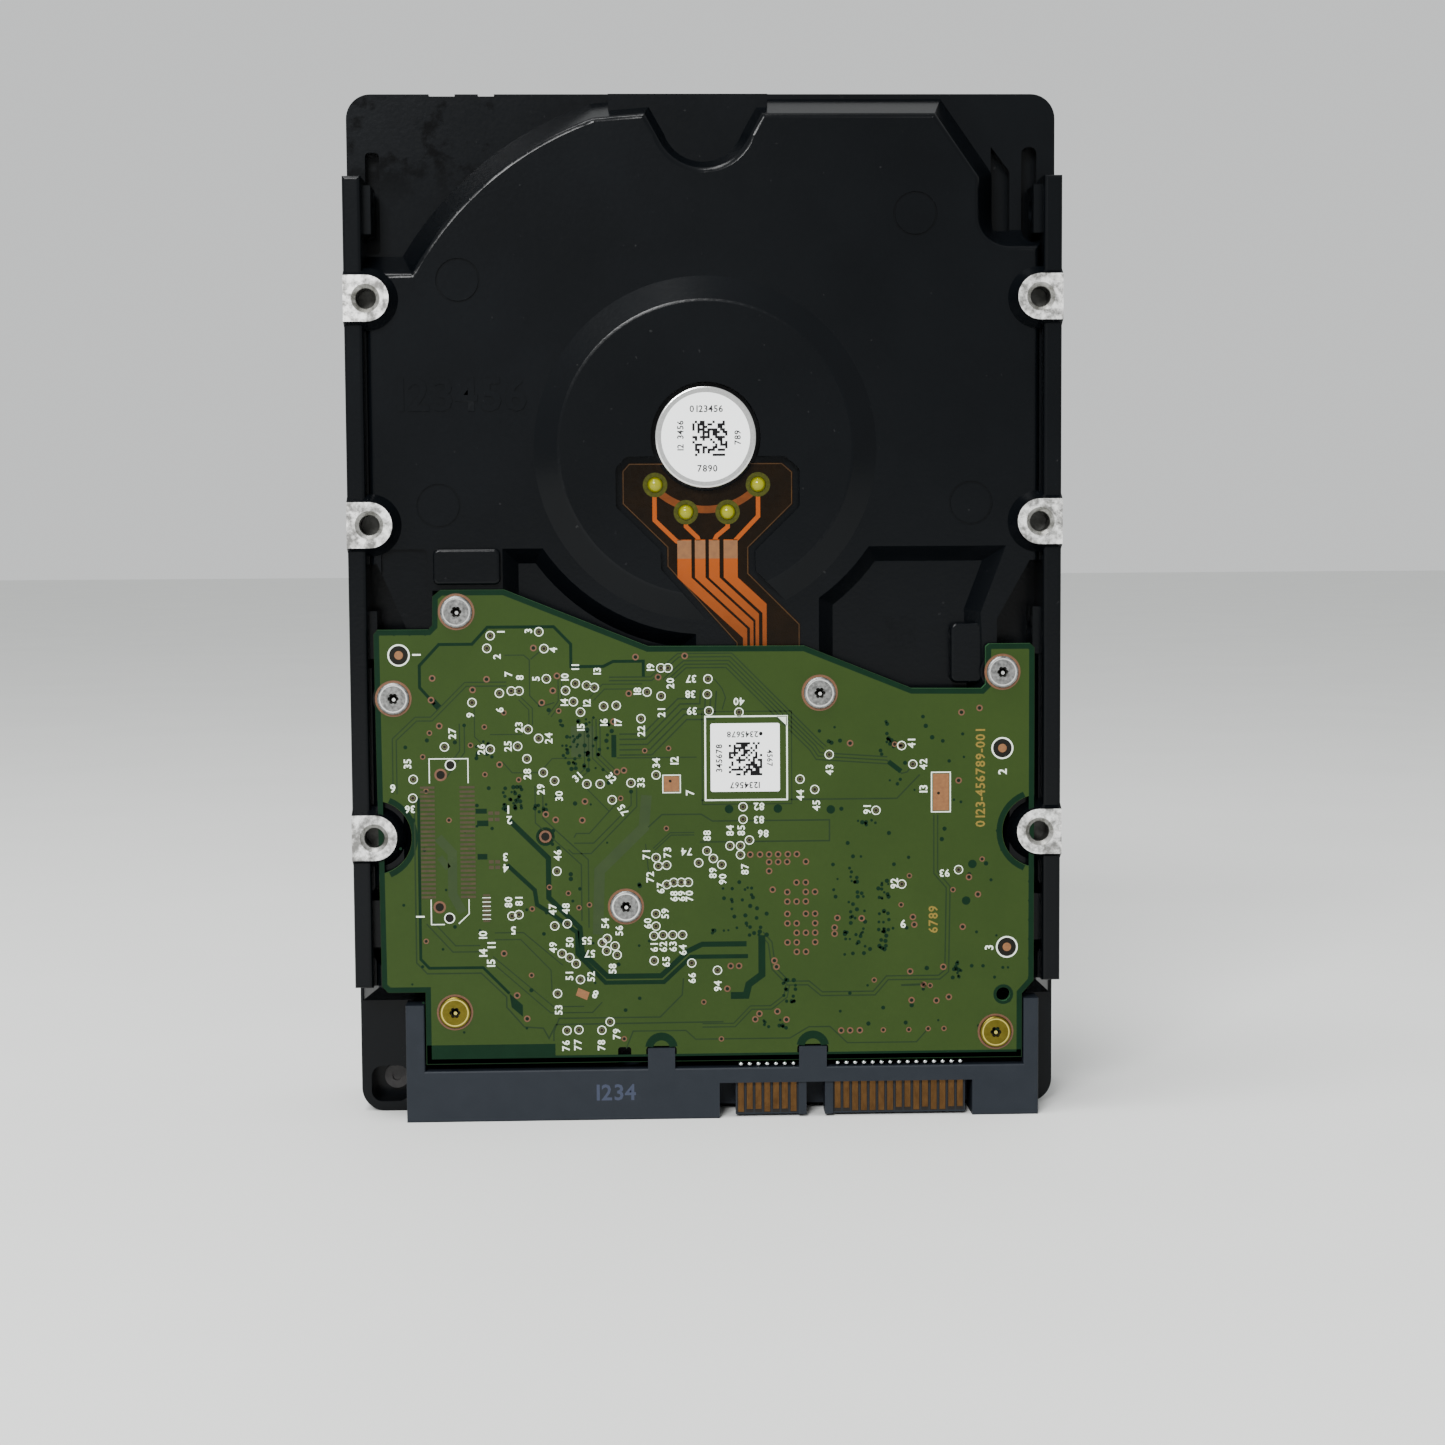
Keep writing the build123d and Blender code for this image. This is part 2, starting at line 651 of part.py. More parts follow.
def spindle_hub():
    hub = rod(spindle, hub_radius, skirt_top, last_disk_depth - slip_clearance)
    hub += rod(spindle, hub_flange_radius, first_disk_depth - hub_flange_thickness, first_disk_depth)
    hub -= rod(spindle, back_iron_outer + 0.02, skirt_top - 1, skirt_bottom)
    hub -= rod(spindle, sleeve_radius + 0.02, 0, thickness)
    for index in range(6):
        hub -= rod(polar(spindle, 9.0, 60 * index + 30), 0.85, last_disk_depth - 5.0, thickness)
    return hub


def rotor_back_iron():
    return ring(spindle, back_iron_outer, magnet_outer + 0.02, skirt_top + 0.3, skirt_bottom - 0.2)


def rotor_magnet():
    return ring(spindle, magnet_outer, tooth_reach + air_gap, skirt_top + 0.8, skirt_bottom - 1.0)


def platter(index):
    top = first_disk_depth + index * disk_pitch
    return ring(spindle, disk_radius, disk_bore, top, top + disk_thickness)


def platter_spacers():
    rings = []
    for index in range(disk_count - 1):
        top = first_disk_depth + index * disk_pitch + disk_thickness
        rings.append(ring(spindle, hub_flange_radius, disk_bore, top, top + disk_gap))
    return Compound(children=rings)


def disk_clamp():
    clamp = ring(spindle, clamp_radius, sleeve_radius + 0.4, last_disk_depth,
                 last_disk_depth + clamp_thickness)
    for index in range(6):
        clamp -= rod(polar(spindle, 9.0, 60 * index + 30), 0.85, 0, thickness)
        clamp -= rod(polar(spindle, 9.0, 60 * index), 0.7, 0, thickness)
    return clamp


def clamp_screws():
    seat = last_disk_depth + clamp_thickness
    screws = []
    for index in range(6):
        place = polar(spindle, 9.0, 60 * index + 30)
        screw = rod(place, 1.5, seat, seat + 0.35) + rod(place, 0.8, seat - 4.5, seat)
        screws.append(screw - rod(place, 0.55, seat + 0.1, seat + 1))
    return Compound(children=screws)


# ---------------------------------------------------------------- head actuator
gap_middle = [first_disk_depth + disk_thickness / 2 + (index - 0.5) * disk_pitch
              for index in range(disk_count + 1)]
fork_margin = 3.0
latch_nub_radius = coil_outer + 1.9
yoke_inner = 10.5
yoke_outer = 28.3
magnet_top = coil_depth - magnet_gap - magnet_thickness
magnet_bottom = coil_depth + coil_thickness + magnet_gap
post_radius = 2.0
post_distance = 22.0
stop_radius = 3.0
post_angles = (coil_angle + coil_half_angle + fork_margin + 10.6,
               coil_angle - swing_angle - coil_half_angle - fork_margin - 10.7)
latch_pin_place = polar(pivot, 30.7, -25.9)
latch_tip_place = polar(pivot, 30.0, -42.0)


def at_arm(shape):
    """Turn a flat shape drawn along +X from the origin to the parked arm's place."""
    return Pos(*pivot) * Rot(0, 0, park_angle) * shape


def actuator_arms():
    """Hub, nine arms between the disks, and the fork that carries the coil: one casting."""
    top = gap_middle[0] - arm_thickness / 2
    bottom = gap_middle[-1] + arm_thickness / 2
    body = rod(pivot, arm_hub_radius, top, bottom)
    arm = outline([(3.0, -6.2), (31.0, -2.7), (33.0, -1.6), (33.0, 1.6), (31.0, 2.7), (3.0, 6.2)])
    arm -= Pos(19.0, 0) * Circle(1.7)
    arm -= Pos(25.0, 0) * Circle(1.2)
    for middle in gap_middle:
        body += slab(at_arm(arm), middle - arm_thickness / 2, middle + arm_thickness / 2)
    half = coil_half_angle + fork_margin
    fork = sector(pivot, 6.5, coil_outer + 1.0, coil_angle - half, coil_angle + half)
    fork -= sector(pivot, coil_inner - 0.05, coil_outer + 0.05, coil_angle - coil_half_angle - 0.2,
                   coil_angle + coil_half_angle + 0.2)
    nub = sector(pivot, coil_outer + 0.8, latch_nub_radius, coil_angle - coil_half_angle - 1.5,
                 coil_angle - coil_half_angle + 1.5)
    body += slab(fork + nub, coil_depth + 0.3, coil_depth + coil_thickness - 0.3)
    return body - rod(pivot, pivot_sleeve_radius + 0.02, 0, thickness)


def pivot_sleeve():
    return ring(pivot, pivot_sleeve_radius, shaft_radius + running_clearance, gap_middle[0] - 0.2,
                gap_middle[-1] + 0.2)


def pivot_shaft():
    shaft = rod(pivot, shaft_radius, chamber_top, inner_cover_depth - 0.02)
    return shaft - rod(pivot, screw_hole, inner_cover_depth - 4.0, thickness)


def voice_coil():
    start = coil_angle - coil_half_angle
    end = coil_angle + coil_half_angle
    plan = sector(pivot, coil_inner, coil_outer, start, end)
    plan -= sector(pivot, coil_inner + 3.6, coil_outer - 3.6, start + 8.5, end - 8.5)
    return slab(plan, coil_depth, coil_depth + coil_thickness)


def head_sides():
    """Gap middle and side of each head: +1 is the deeper side, towards the cover."""
    sides = []
    for index, middle in enumerate(gap_middle):
        if index < disk_count:
            sides.append((middle, 1))
        if index > 0:
            sides.append((middle, -1))
    return sides


def head_layer(face, near, far):
    """One flat piece for each head, between two distances from the gap's middle."""
    pieces = []
    for middle, side in head_sides():
        level = sorted((middle + side * near, middle + side * far))
        pieces.append(slab(face, level[0], level[1]))
    return Compound(children=pieces)


def head_suspensions():
    plan = outline([(28.0, -2.2), (34.0, -2.2), (arm_reach, -0.6), (arm_reach + 2.3, -0.25),
                    (arm_reach + 2.3, 0.25), (arm_reach, 0.6), (34.0, 2.2), (28.0, 2.2)])
    near = arm_thickness / 2
    return head_layer(at_arm(plan), near, near + 0.1)


def head_sliders():
    near = arm_thickness / 2 + 0.1
    return head_layer(at_arm(Pos(arm_reach - 0.3, 0) * Rectangle(1.2, 0.9)), near, disk_gap / 2 - 0.05)


def yoke_plan():
    plan = sector(pivot, yoke_inner, yoke_outer, post_angles[1] + 4, post_angles[0] - 4)
    for angle in post_angles:
        plan += Pos(*polar(pivot, post_distance, angle)) * Circle(stop_radius + 0.6)
    return plan


def magnet_yokes():
    upper = slab(yoke_plan(), magnet_top - yoke_thickness, magnet_top)
    lower = slab(yoke_plan(), magnet_bottom + magnet_thickness,
                 magnet_bottom + magnet_thickness + yoke_thickness)
    return Compound(children=[upper, lower])


def voice_coil_magnets():
    plan = sector(pivot, coil_inner + 0.5, coil_outer - 0.5, post_angles[1] + 12, post_angles[0] - 12)
    upper = slab(plan, magnet_top, magnet_top + magnet_thickness)
    lower = slab(plan, magnet_bottom, magnet_bottom + magnet_thickness)
    return Compound(children=[upper, lower])


def yoke_posts():
    posts = [rod(polar(pivot, post_distance, angle), post_radius, magnet_top,
                 magnet_bottom + magnet_thickness) for angle in post_angles]
    return Compound(children=posts)


def crash_stops():
    sleeves = [ring(polar(pivot, post_distance, angle), stop_radius, post_radius + 0.02,
                    coil_depth - 0.2, coil_depth + coil_thickness + 0.2) for angle in post_angles]
    return Compound(children=sleeves)


def latch_lever():
    top = coil_depth + 0.3
    bottom = coil_depth + coil_thickness - 0.3
    pin, tip = latch_pin_place, latch_tip_place
    reach = math.hypot(tip[0] - pin[0], tip[1] - pin[1])
    bearing = math.degrees(math.atan2(tip[1] - pin[1], tip[0] - pin[0]))
    bar = Pos(reach / 2, 0) * Rectangle(reach, 1.8) + Circle(1.9)
    plan = Pos(*pin) * Rot(0, 0, bearing) * bar
    plan += sector(pivot, latch_nub_radius + 0.5, 30.4, -43.5, -40.5)
    return slab(plan, top, bottom) - rod(pin, 1.0 + running_clearance, 0, thickness)


def latch_pin():
    pin = rod(latch_pin_place, 1.0, deep_chamber_top, coil_depth + coil_thickness + 0.4)
    return pin + rod(latch_pin_place, 1.7, deep_chamber_top, coil_depth - 0.1)


# ---------------------------------------------------------------- other pieces in the chamber
ramp_start = 158.0
ramp_end = 168.0
bracket_box = (-39.6, -33.0, 33.0, 47.0)
flex_points_inside = ((11.2, 38.6), (-9.0, 27.5), (-32.9, 36.0))


def load_ramp():
    """Comb of fins that the arm tips ride up onto when the heads park."""
    body = slab(sector(pivot, arm_reach + 3.6, arm_reach + 7.0, 161.5, ramp_end), chamber_top,
                gap_middle[-1] + 0.3)
    fin = sector(pivot, arm_reach + 0.9, arm_reach + 3.7, ramp_start, ramp_end)
    for middle in gap_middle:
        body += slab(fin, middle - arm_thickness / 2 + 0.05, middle + arm_thickness / 2 - 0.05)
    return body


def flex_bracket():
    x0, x1, y0, y1 = bracket_box
    return block(x0, x1, y0, y1, 7.02, 20.5)


def arm_flex():
    """Ribbon from the bracket to the arm hub, on edge, in one slack bow."""
    (ax, ay), (bx, by), (cx, cy) = flex_points_inside
    d = 2 * (ax * (by - cy) + bx * (cy - ay) + cx * (ay - by))
    sa, sb, sc = ax * ax + ay * ay, bx * bx + by * by, cx * cx + cy * cy
    centre = ((sa * (by - cy) + sb * (cy - ay) + sc * (ay - by)) / d,
              (sa * (cx - bx) + sb * (ax - cx) + sc * (bx - ax)) / d)
    radius = math.hypot(ax - centre[0], ay - centre[1])
    start = math.degrees(math.atan2(cy - centre[1], cx - centre[0])) % 360
    end = math.degrees(math.atan2(ay - centre[1], ax - centre[0])) % 360
    return slab(sector(centre, radius - 0.08, radius + 0.08, start, end), 12.0, 19.5)


def recirculation_filter():
    return slab(rounded_rect(34.6, 43.0, 134.5, 141.0, 0.6), 13.2, 22.8)


def desiccant_pack():
    return slab(rounded_rect(-43.0, -24.0, 9.5, 19.0, 1.5), 11.5, 21.5)


def corner_screw():
    head = rod(corner_screw_place, 1.8, 12.2, 13.0) + rod(corner_screw_place, screw_shank, 13.0, 15.8)
    return head - rod(corner_screw_place, 0.7, 12.0, 12.6)


# ---------------------------------------------------------------- export, standing on the connector end
def stand(shape):
    return Pos(0, thickness / 2, 0) * Rot(90, 0, 0) * shape


pieces = {
    "base_casting": base_casting(),
    "outer_cover": outer_cover(),
    "cover_label": cover_label(),
    "inner_cover": inner_cover(),
    "cover_gasket": cover_gasket(),
    "cover_screws": cover_screws(),
    "corner_screw": corner_screw(),
    "circuit_board": circuit_board(),
    "board_label": board_label(),
    "board_screws": board_screws(),
    "connector_screws": connector_screws(),
    "connector_housing": connector_housing(),
    "connector_contacts": connector_contacts(),
    "connector_tails": connector_tails(),
    "board_insulator": board_insulator(),
    "controller_chip": chip(8.0, 34.0, 15.0, 15.0, 1.2),
    "memory_chip": chip(-10.0, 42.0, 9.0, 11.0, 1.0),
    "motor_driver_chip": chip(29.0, 33.0, 9.0, 9.0, 0.9),
    "small_components": small_components(),
    "feedthrough_connector": feedthrough_connector(),
    "motor_flex": motor_flex(),
    "motor_solder_joints": motor_solder_joints(),
    "motor_end_cap": motor_end_cap(),
    "motor_label": motor_label(),
    "stator_core": stator_core(),
    "stator_coils": stator_coils(),
    "spindle_shaft": spindle_shaft(),
    "bearing_sleeve": bearing_sleeve(),
    "spindle_hub": spindle_hub(),
    "rotor_back_iron": rotor_back_iron(),
    "rotor_magnet": rotor_magnet(),
    "platter_spacers": platter_spacers(),
    "disk_clamp": disk_clamp(),
    "clamp_screws": clamp_screws(),
    "actuator_arms": actuator_arms(),
    "pivot_sleeve": pivot_sleeve(),
    "pivot_shaft": pivot_shaft(),
    "voice_coil": voice_coil(),
    "head_suspensions": head_suspensions(),
    "head_sliders": head_sliders(),
    "magnet_yokes": magnet_yokes(),
    "voice_coil_magnets": voice_coil_magnets(),
    "yoke_posts": yoke_posts(),
    "crash_stops": crash_stops(),
    "latch_lever": latch_lever(),
    "latch_pin": latch_pin(),
    "load_ramp": load_ramp(),
    "flex_bracket": flex_bracket(),
    "arm_flex": arm_flex(),
    "recirculation_filter": recirculation_filter(),
    "desiccant_pack": desiccant_pack(),
}
for index in range(disk_count):
    pieces[f"platter_{index + 1}"] = platter(index)

for name, shape in pieces.items():
    export_step(stand(shape), f"parts/{name}.step")
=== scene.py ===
import math

import bpy
import numpy as np
from mathutils import Matrix, Vector


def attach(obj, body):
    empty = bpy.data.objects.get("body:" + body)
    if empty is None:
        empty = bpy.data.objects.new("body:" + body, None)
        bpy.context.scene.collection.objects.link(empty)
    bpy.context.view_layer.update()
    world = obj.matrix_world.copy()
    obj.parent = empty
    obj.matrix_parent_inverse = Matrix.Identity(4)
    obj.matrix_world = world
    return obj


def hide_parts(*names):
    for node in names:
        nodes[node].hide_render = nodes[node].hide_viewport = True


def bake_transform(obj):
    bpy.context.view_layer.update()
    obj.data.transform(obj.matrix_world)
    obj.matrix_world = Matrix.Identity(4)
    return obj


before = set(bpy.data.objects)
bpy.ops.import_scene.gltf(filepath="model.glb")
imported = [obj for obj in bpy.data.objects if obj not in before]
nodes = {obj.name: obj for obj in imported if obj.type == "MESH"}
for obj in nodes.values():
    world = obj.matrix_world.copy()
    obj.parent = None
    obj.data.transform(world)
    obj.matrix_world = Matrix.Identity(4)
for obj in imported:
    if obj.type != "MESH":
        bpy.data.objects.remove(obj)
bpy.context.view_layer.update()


# ================================================================ base casting
# One aluminium pressure casting, tumbled, dipped in satin black electro-coat, then milled bare on the
# six lug faces, where the screws pull up against a bracket. Its coat has a fine orange-peel skin.
MM = 0.001


class Varying:
    """A value that changes over a surface. Python arithmetic on it adds Math nodes to its finish."""

    def __init__(self, finish, socket):
        self.finish = finish
        self.socket = socket

    def math(self, operation, first, second=0.0):
        return self.finish.add("ShaderNodeMath", {"operation": operation}, {0: first, 1: second}, out=0)

    def __add__(self, other):
        return self.math("ADD", self, other)

    def __radd__(self, other):
        return self.math("ADD", other, self)

    def __sub__(self, other):
        return self.math("SUBTRACT", self, other)

    def __rsub__(self, other):
        return self.math("SUBTRACT", other, self)

    def __mul__(self, other):
        return self.math("MULTIPLY", self, other)

    def __rmul__(self, other):
        return self.math("MULTIPLY", other, self)

    def __pow__(self, other):
        return self.math("POWER", self, other)

    def __lt__(self, other):
        return self.math("LESS_THAN", self, other)

    def __abs__(self):
        return self.math("ABSOLUTE", self)

    def larger(self, other):
        return self.math("MAXIMUM", self, other)

    def smaller(self, other):
        return self.math("MINIMUM", self, other)


def srgb(red, green, blue):
    """Linear colour of 0-255 display values: ((v + 0.055) / 1.055) ** 2.4, or v / 12.92 near black."""
    linear = [v / 255 / 12.92 if v < 10 else ((v / 255 + 0.055) / 1.055) ** 2.4 for v in (red, green,
                                                                                          blue)]
    return (*linear, 1.0)


class Finish:
    """A material with one Principled shader. Fixed values sit on its sockets; nodes carry what varies."""

    def __init__(self, name, colour, roughness, metallic=0.0, **fixed):
        self.material = bpy.data.materials.new(name)
        self.material.use_nodes = True
        self.tree = self.material.node_tree
        self.shader = self.tree.nodes["Principled BSDF"]
        self.vary("Base Color", colour)
        self.vary("Roughness", roughness)
        self.vary("Metallic", metallic)
        for socket, value in fixed.items():
            self.vary(socket.replace("_", " "), value)
        coordinates = self.add("ShaderNodeTexCoord")
        self.spot = coordinates.outputs["Object"]

    def vary(self, socket, value):
        self.feed(self.shader.inputs[socket], value)

    def feed(self, socket, value):
        if isinstance(value, Varying):
            value = value.socket
        if isinstance(value, bpy.types.NodeSocket):
            self.tree.links.new(value, socket)
        else:
            socket.default_value = value

    def add(self, kind, settings=None, sockets=None, out=None):
        """A node of a kind: its settings first, then its socket values or links. out picks one value."""
        made = self.tree.nodes.new(kind)
        for name, value in (settings or {}).items():
            if name == "stops":
                made.color_ramp.elements[0].position, made.color_ramp.elements[0].color = value[0]
                made.color_ramp.elements[1].position, made.color_ramp.elements[1].color = value[-1]
                for place, colour in value[1:-1]:
                    made.color_ramp.elements.new(place).color = colour
            else:
                setattr(made, name, value)
        for name, value in (sockets or {}).items():
            self.feed(made.inputs[name], value)
        return made if out is None else Varying(self, made.outputs[out])

    def axes(self):
        """X, Y and Z of the surface in millimetres."""
        parts = self.add("ShaderNodeSeparateXYZ", sockets={0: self.spot})
        return [Varying(self, parts.outputs[k]) * 1000.0 for k in range(3)]

    def grain(self, size_mm, detail=3.0, roughness=0.5, stretch=(1.0, 1.0, 1.0)):
        """Noise, 0 to 1, whose lumps are about size_mm across, pulled out along an axis by stretch."""
        turned = self.add("ShaderNodeMapping", sockets={"Vector": self.spot, "Scale": stretch})
        return self.add("ShaderNodeTexNoise", {"noise_dimensions": "3D"},
                        {"Vector": turned.outputs[0], "Scale": 1000.0 / size_mm, "Detail": detail,
                         "Roughness": roughness}, out=0)

    def step(self, value, low, high):
        """0 below low, 1 above high, with a smooth rise between."""
        return self.add("ShaderNodeMapRange", {"interpolation_type": "SMOOTHSTEP"},
                        {"Value": value, "From Min": low, "From Max": high}, out=0)

    def blend(self, share, first, second):
        """Colour between two, by a share from 0 to 1."""
        mixed = self.add("ShaderNodeMix", {"data_type": "RGBA"}, {0: share, 6: first, 7: second})
        return mixed.outputs[2]

    def tint(self, share, first, second):
        """Base colour between two, by a share from 0 to 1."""
        self.vary("Base Color", self.blend(share, first, second))

    def drift(self, noise, dark, light, smooth, spread):
        """Tone runs from dark to light with a noise, and roughness from smooth to smooth + spread."""
        self.tint(noise, dark, light)
        self.vary("Roughness", smooth + noise * spread)

    def relief(self, height, strength, depth_mm):
        bump = self.add("ShaderNodeBump", sockets={"Height": height, "Strength": strength,
                                                   "Distance": depth_mm * MM})
        self.vary("Normal", bump.outputs[0])

    def coat(self, *names):
        """Gives CAD nodes this finish."""
        for name in names:
            mesh = nodes[name].data
            mesh.materials.clear()
            mesh.materials.append(self.material)


half_height = 13.05
lug_x = 47.625
lug_z = (41.28, 85.73, 117.48)
lug_radius = 6.0
countersink_radius = 2.02
bore_radius = 1.46

black_coat = Finish("black_coat", (0.006, 0.0065, 0.007, 1), 0.42, Specular_IOR_Level=0.12)
x, y, z = black_coat.axes()
column = abs(x) - lug_x
near = None
for height in lug_z:
    row = z - height
    reach = (column * column + row * row) ** 0.5
    near = reach if near is None else near.smaller(reach)
machined = (y < 0.07 - half_height) * (near < lug_radius)
bored = (near < countersink_radius) * (y < 4.15 - half_height)
bare = machined.larger(bored)
cloud = black_coat.grain(34.0, 4.0, 0.6)
stain = black_coat.step(black_coat.grain(9.0, 6.0, 0.62), 0.52, 0.6) * black_coat.step(z, 130.0, 139.0)
stain = stain * black_coat.step(x * -1.0, 20.0, 32.0) * (1.0 - bare)
peel = black_coat.grain(0.55, 2.0)
dust = black_coat.step(black_coat.grain(1.1, 2.0), 0.74, 0.8)
coat_tone = black_coat.blend(cloud, (0.0004, 0.0006, 0.0009, 1), (0.0026, 0.0034, 0.0045, 1))
coat_tone = black_coat.blend(stain * 0.85, coat_tone, (0.0004, 0.0004, 0.0005, 1))
coat_tone = black_coat.blend(dust * 0.12, coat_tone, (0.10, 0.10, 0.10, 1))
turning = black_coat.grain(1.6, 5.0, 0.7)
metal_tone_and_hole_shade = black_coat.blend(black_coat.step(turning, 0.36, 0.64), (0.17, 0.167, 0.16, 1),
                              (0.80, 0.795, 0.78, 1))
# Painted shade: the countersink of each lug hole is painted darker, and its bore near black.
metal_tone_and_hole_shade = black_coat.blend((near < countersink_radius) * 0.6, metal_tone_and_hole_shade, (0.12, 0.118, 0.10, 1))
metal_tone_and_hole_shade = black_coat.blend((near < bore_radius) * 0.9, metal_tone_and_hole_shade, (0.03, 0.03, 0.028, 1))
black_coat.tint(bare, coat_tone, metal_tone_and_hole_shade)
black_coat.vary("Metallic", bare * 0.75)
coat_gloss = 0.16 + cloud * 0.08 - stain * 0.06 + peel * 0.05
black_coat.vary("Roughness", coat_gloss * (1.0 - bare) + bare * (0.3 + turning * 0.2))
black_coat.relief(peel * (1.0 - bare) + turning * bare * 0.4, 0.22, 0.05)
black_coat.coat("base_casting")


# Raised numerals and a raised square of dots come out of the die with the casting, so they carry the
# same coat. The numerals are a plain cavity number and the dots spell nothing.
digit_size = 10.0


def cut_digit(mark):
    """Flat outline of one numeral or dash, filled with triangles, 1 unit tall, as (points, faces)."""
    curve = bpy.data.curves.new("numeral", "FONT")
    curve.body = mark
    curve.size = digit_size
    curve.resolution_u = 2
    curve.offset = 0.02 * digit_size
    pattern = bpy.data.objects.new("numeral", curve)
    bpy.context.scene.collection.objects.link(pattern)
    mesh = bpy.data.meshes.new_from_object(pattern.evaluated_get(bpy.context.evaluated_depsgraph_get()))
    points = np.zeros(len(mesh.vertices) * 3)
    mesh.vertices.foreach_get("co", points)
    points = points.reshape(-1, 3)[:, :2]
    faces = [list(face.vertices) for face in mesh.polygons]
    bpy.data.objects.remove(pattern)
    bpy.data.meshes.remove(mesh)
    return points, faces


numerals = {mark: cut_digit(mark) for mark in "0123456789-"}
numeral_top = numerals["0"][0][:, 1].max()
numeral_width = {mark: shape[0][:, 0].max() for mark, shape in numerals.items()}


class Artwork:
    """Flat shapes on a plane of the drive, gathered into one mesh. Places are x and z in millimetres."""

    def __init__(self):
        self.points = []
        self.faces = []

    def patch(self, points, faces):
        start = sum(len(group) for group in self.points)
        self.points.append(np.asarray(points, float))
        self.faces += [[start + k for k in face] for face in faces]

    def shape(self, points):
        """One flat face round the given corners, which run anticlockwise."""
        self.patch(points, [range(len(points))])

    def bar(self, x0, x1, z0, z1):
        self.shape([(x0, z0), (x1, z0), (x1, z1), (x0, z1)])

    def disc(self, centre, radius, sides=14):
        """Corner k stands at angle 2 pi k / sides round the centre."""
        turn = np.arange(sides) * 2 * math.pi / sides
        self.shape(np.array(centre) + radius * np.stack([np.cos(turn), np.sin(turn)], 1))

    def ring(self, centre, outer, inner, sides=18, start=0.0, sweep=360.0):
        """Quads between two circles: centre + radius (cos a, sin a), where a = start + sweep k / sides."""
        turn = np.radians(start + sweep * np.arange(sides + 1) / sides)
        circle = np.stack([np.cos(turn), np.sin(turn)], 1)
        points = np.concatenate([np.array(centre) + outer * circle, np.array(centre) + inner * circle])
        self.patch(points, [(k, k + 1, k + sides + 2, k + sides + 1) for k in range(sides)])

    def ribbon(self, path, width, shift=0.0, closed=False):
        """Strip along a path. Each edge is path + offset * m, where m is the mitre: the sum of the two
        neighbouring unit normals over 1 + their dot product."""
        path = np.array(path, float)
        runs = np.diff(np.concatenate([path, path[:1]]) if closed else path, axis=0)
        runs /= np.linalg.norm(runs, axis=1)[:, None]
        normal = np.stack([-runs[:, 1], runs[:, 0]], 1)
        before = np.roll(normal, 1, 0) if closed else np.concatenate([normal[:1], normal])
        after = normal if closed else np.concatenate([normal, normal[-1:]])
        mitre = (before + after) / (1 + (before * after).sum(1))[:, None]
        count = len(path)
        points = np.concatenate([path + (shift - width / 2) * mitre, path + (shift + width / 2) * mitre])
        ends = count if closed else count - 1
        self.patch(points, [(k, (k + 1) % count, count + (k + 1) % count,
                             count + k) for k in range(ends)])

    def bus(self, path, count, pitch, width):
        """Several ribbons side by side, centred on a path."""
        for k in range(count):
            self.ribbon(path, width, (k - (count - 1) / 2) * pitch)

    def frame(self, x0, x1, z0, z1, width):
        self.ribbon([(x0, z0), (x1, z0), (x1, z1), (x0, z1)], width, closed=True)

    def number(self, text, centre, tall, turn=0):
        """Numerals in a row, centred on a place and turned anticlockwise by a number of degrees."""
        size = tall / numeral_top
        gap = 0.09 * tall / size
        spans = [numeral_width[mark] + gap if mark != " " else 0.5 * digit_size for mark in text]
        left = -(sum(spans) - gap) / 2
        spin = math.radians(turn)
        matrix = np.array([[math.cos(spin), math.sin(spin)], [-math.sin(spin), math.cos(spin)]])
        for mark, span in zip(text, spans):
            if mark != " ":
                points, faces = numerals[mark]
                self.patch(((points + [left, -numeral_top / 2]) * size) @ matrix + centre, faces)
            left += span

    def speckled_square(self, x0, z0, size, cells, seed):
        """Square of cells, about half of them filled at random."""
        filled = np.random.default_rng(seed).random((cells, cells)) < 0.52
        cell = size / cells
        for row, column in np.argwhere(filled):
            self.bar(x0 + column * cell, x0 + (column + 1) * cell, z0 + row * cell, z0 + (row + 1) * cell)

    def lay(self, name, depth, finish, slot, thick=0.0):
        """Makes the mesh at a depth below the mounting face, in mm; thick stands it up as a solid."""
        flat = np.concatenate(self.points)
        level = np.full(len(flat), (depth - half_height) * MM)
        mesh = bpy.data.meshes.new(name)
        mesh.from_pydata(np.stack([flat[:, 0] * MM, level, flat[:, 1] * MM], 1).tolist(), [], self.faces)
        mesh.materials.append(finish.material)
        piece = bpy.data.objects.new(name, mesh)
        bpy.context.scene.collection.objects.link(piece)
        if thick:
            wall = piece.modifiers.new("height", "SOLIDIFY")
            wall.thickness = thick * MM
            wall.offset = 1.0
        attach(piece, "base")
        return piece


cavity_number = Artwork()
cavity_number.number("123456", (-35.0, 104.2), 4.6)
cavity_number.lay("cast_numerals", 2.19, black_coat, "black_coated_casting", thick=0.14)

cast_dots = Artwork()
speckle = np.random.default_rng(5).random((12, 12)) < 0.45
for row, column in np.argwhere(speckle):
    cast_dots.bar(25.6 + 0.4 * column, 25.86 + 0.4 * column, 67.5 + 0.4 * row, 67.76 + 0.4 * row)
cast_dots.lay("cast_dots", 4.59, black_coat, "black_coated_casting", thick=0.08)


# ================================================================ covers, gasket and cover screws
# The outer cover is a thin aluminium sheet with a rolled satin grain, under a paper-white film label.
# Below it the inner cover, gasket and screws close the chamber; they show only where the case is cut.
sheet_metal = Finish("satin_sheet", (0.62, 0.625, 0.63, 1), 0.34, metallic=1.0)
roll = sheet_metal.grain(0.5, 4.0, 0.6, stretch=(1.0, 1.0, 0.03))
blotch = sheet_metal.grain(24.0, 3.0)
sheet_metal.tint(blotch, (0.56, 0.565, 0.57, 1), (0.68, 0.685, 0.69, 1))
sheet_metal.vary("Roughness", 0.27 + roll * 0.18)
sheet_metal.relief(roll, 0.12, 0.02)
sheet_metal.coat("outer_cover", "inner_cover")

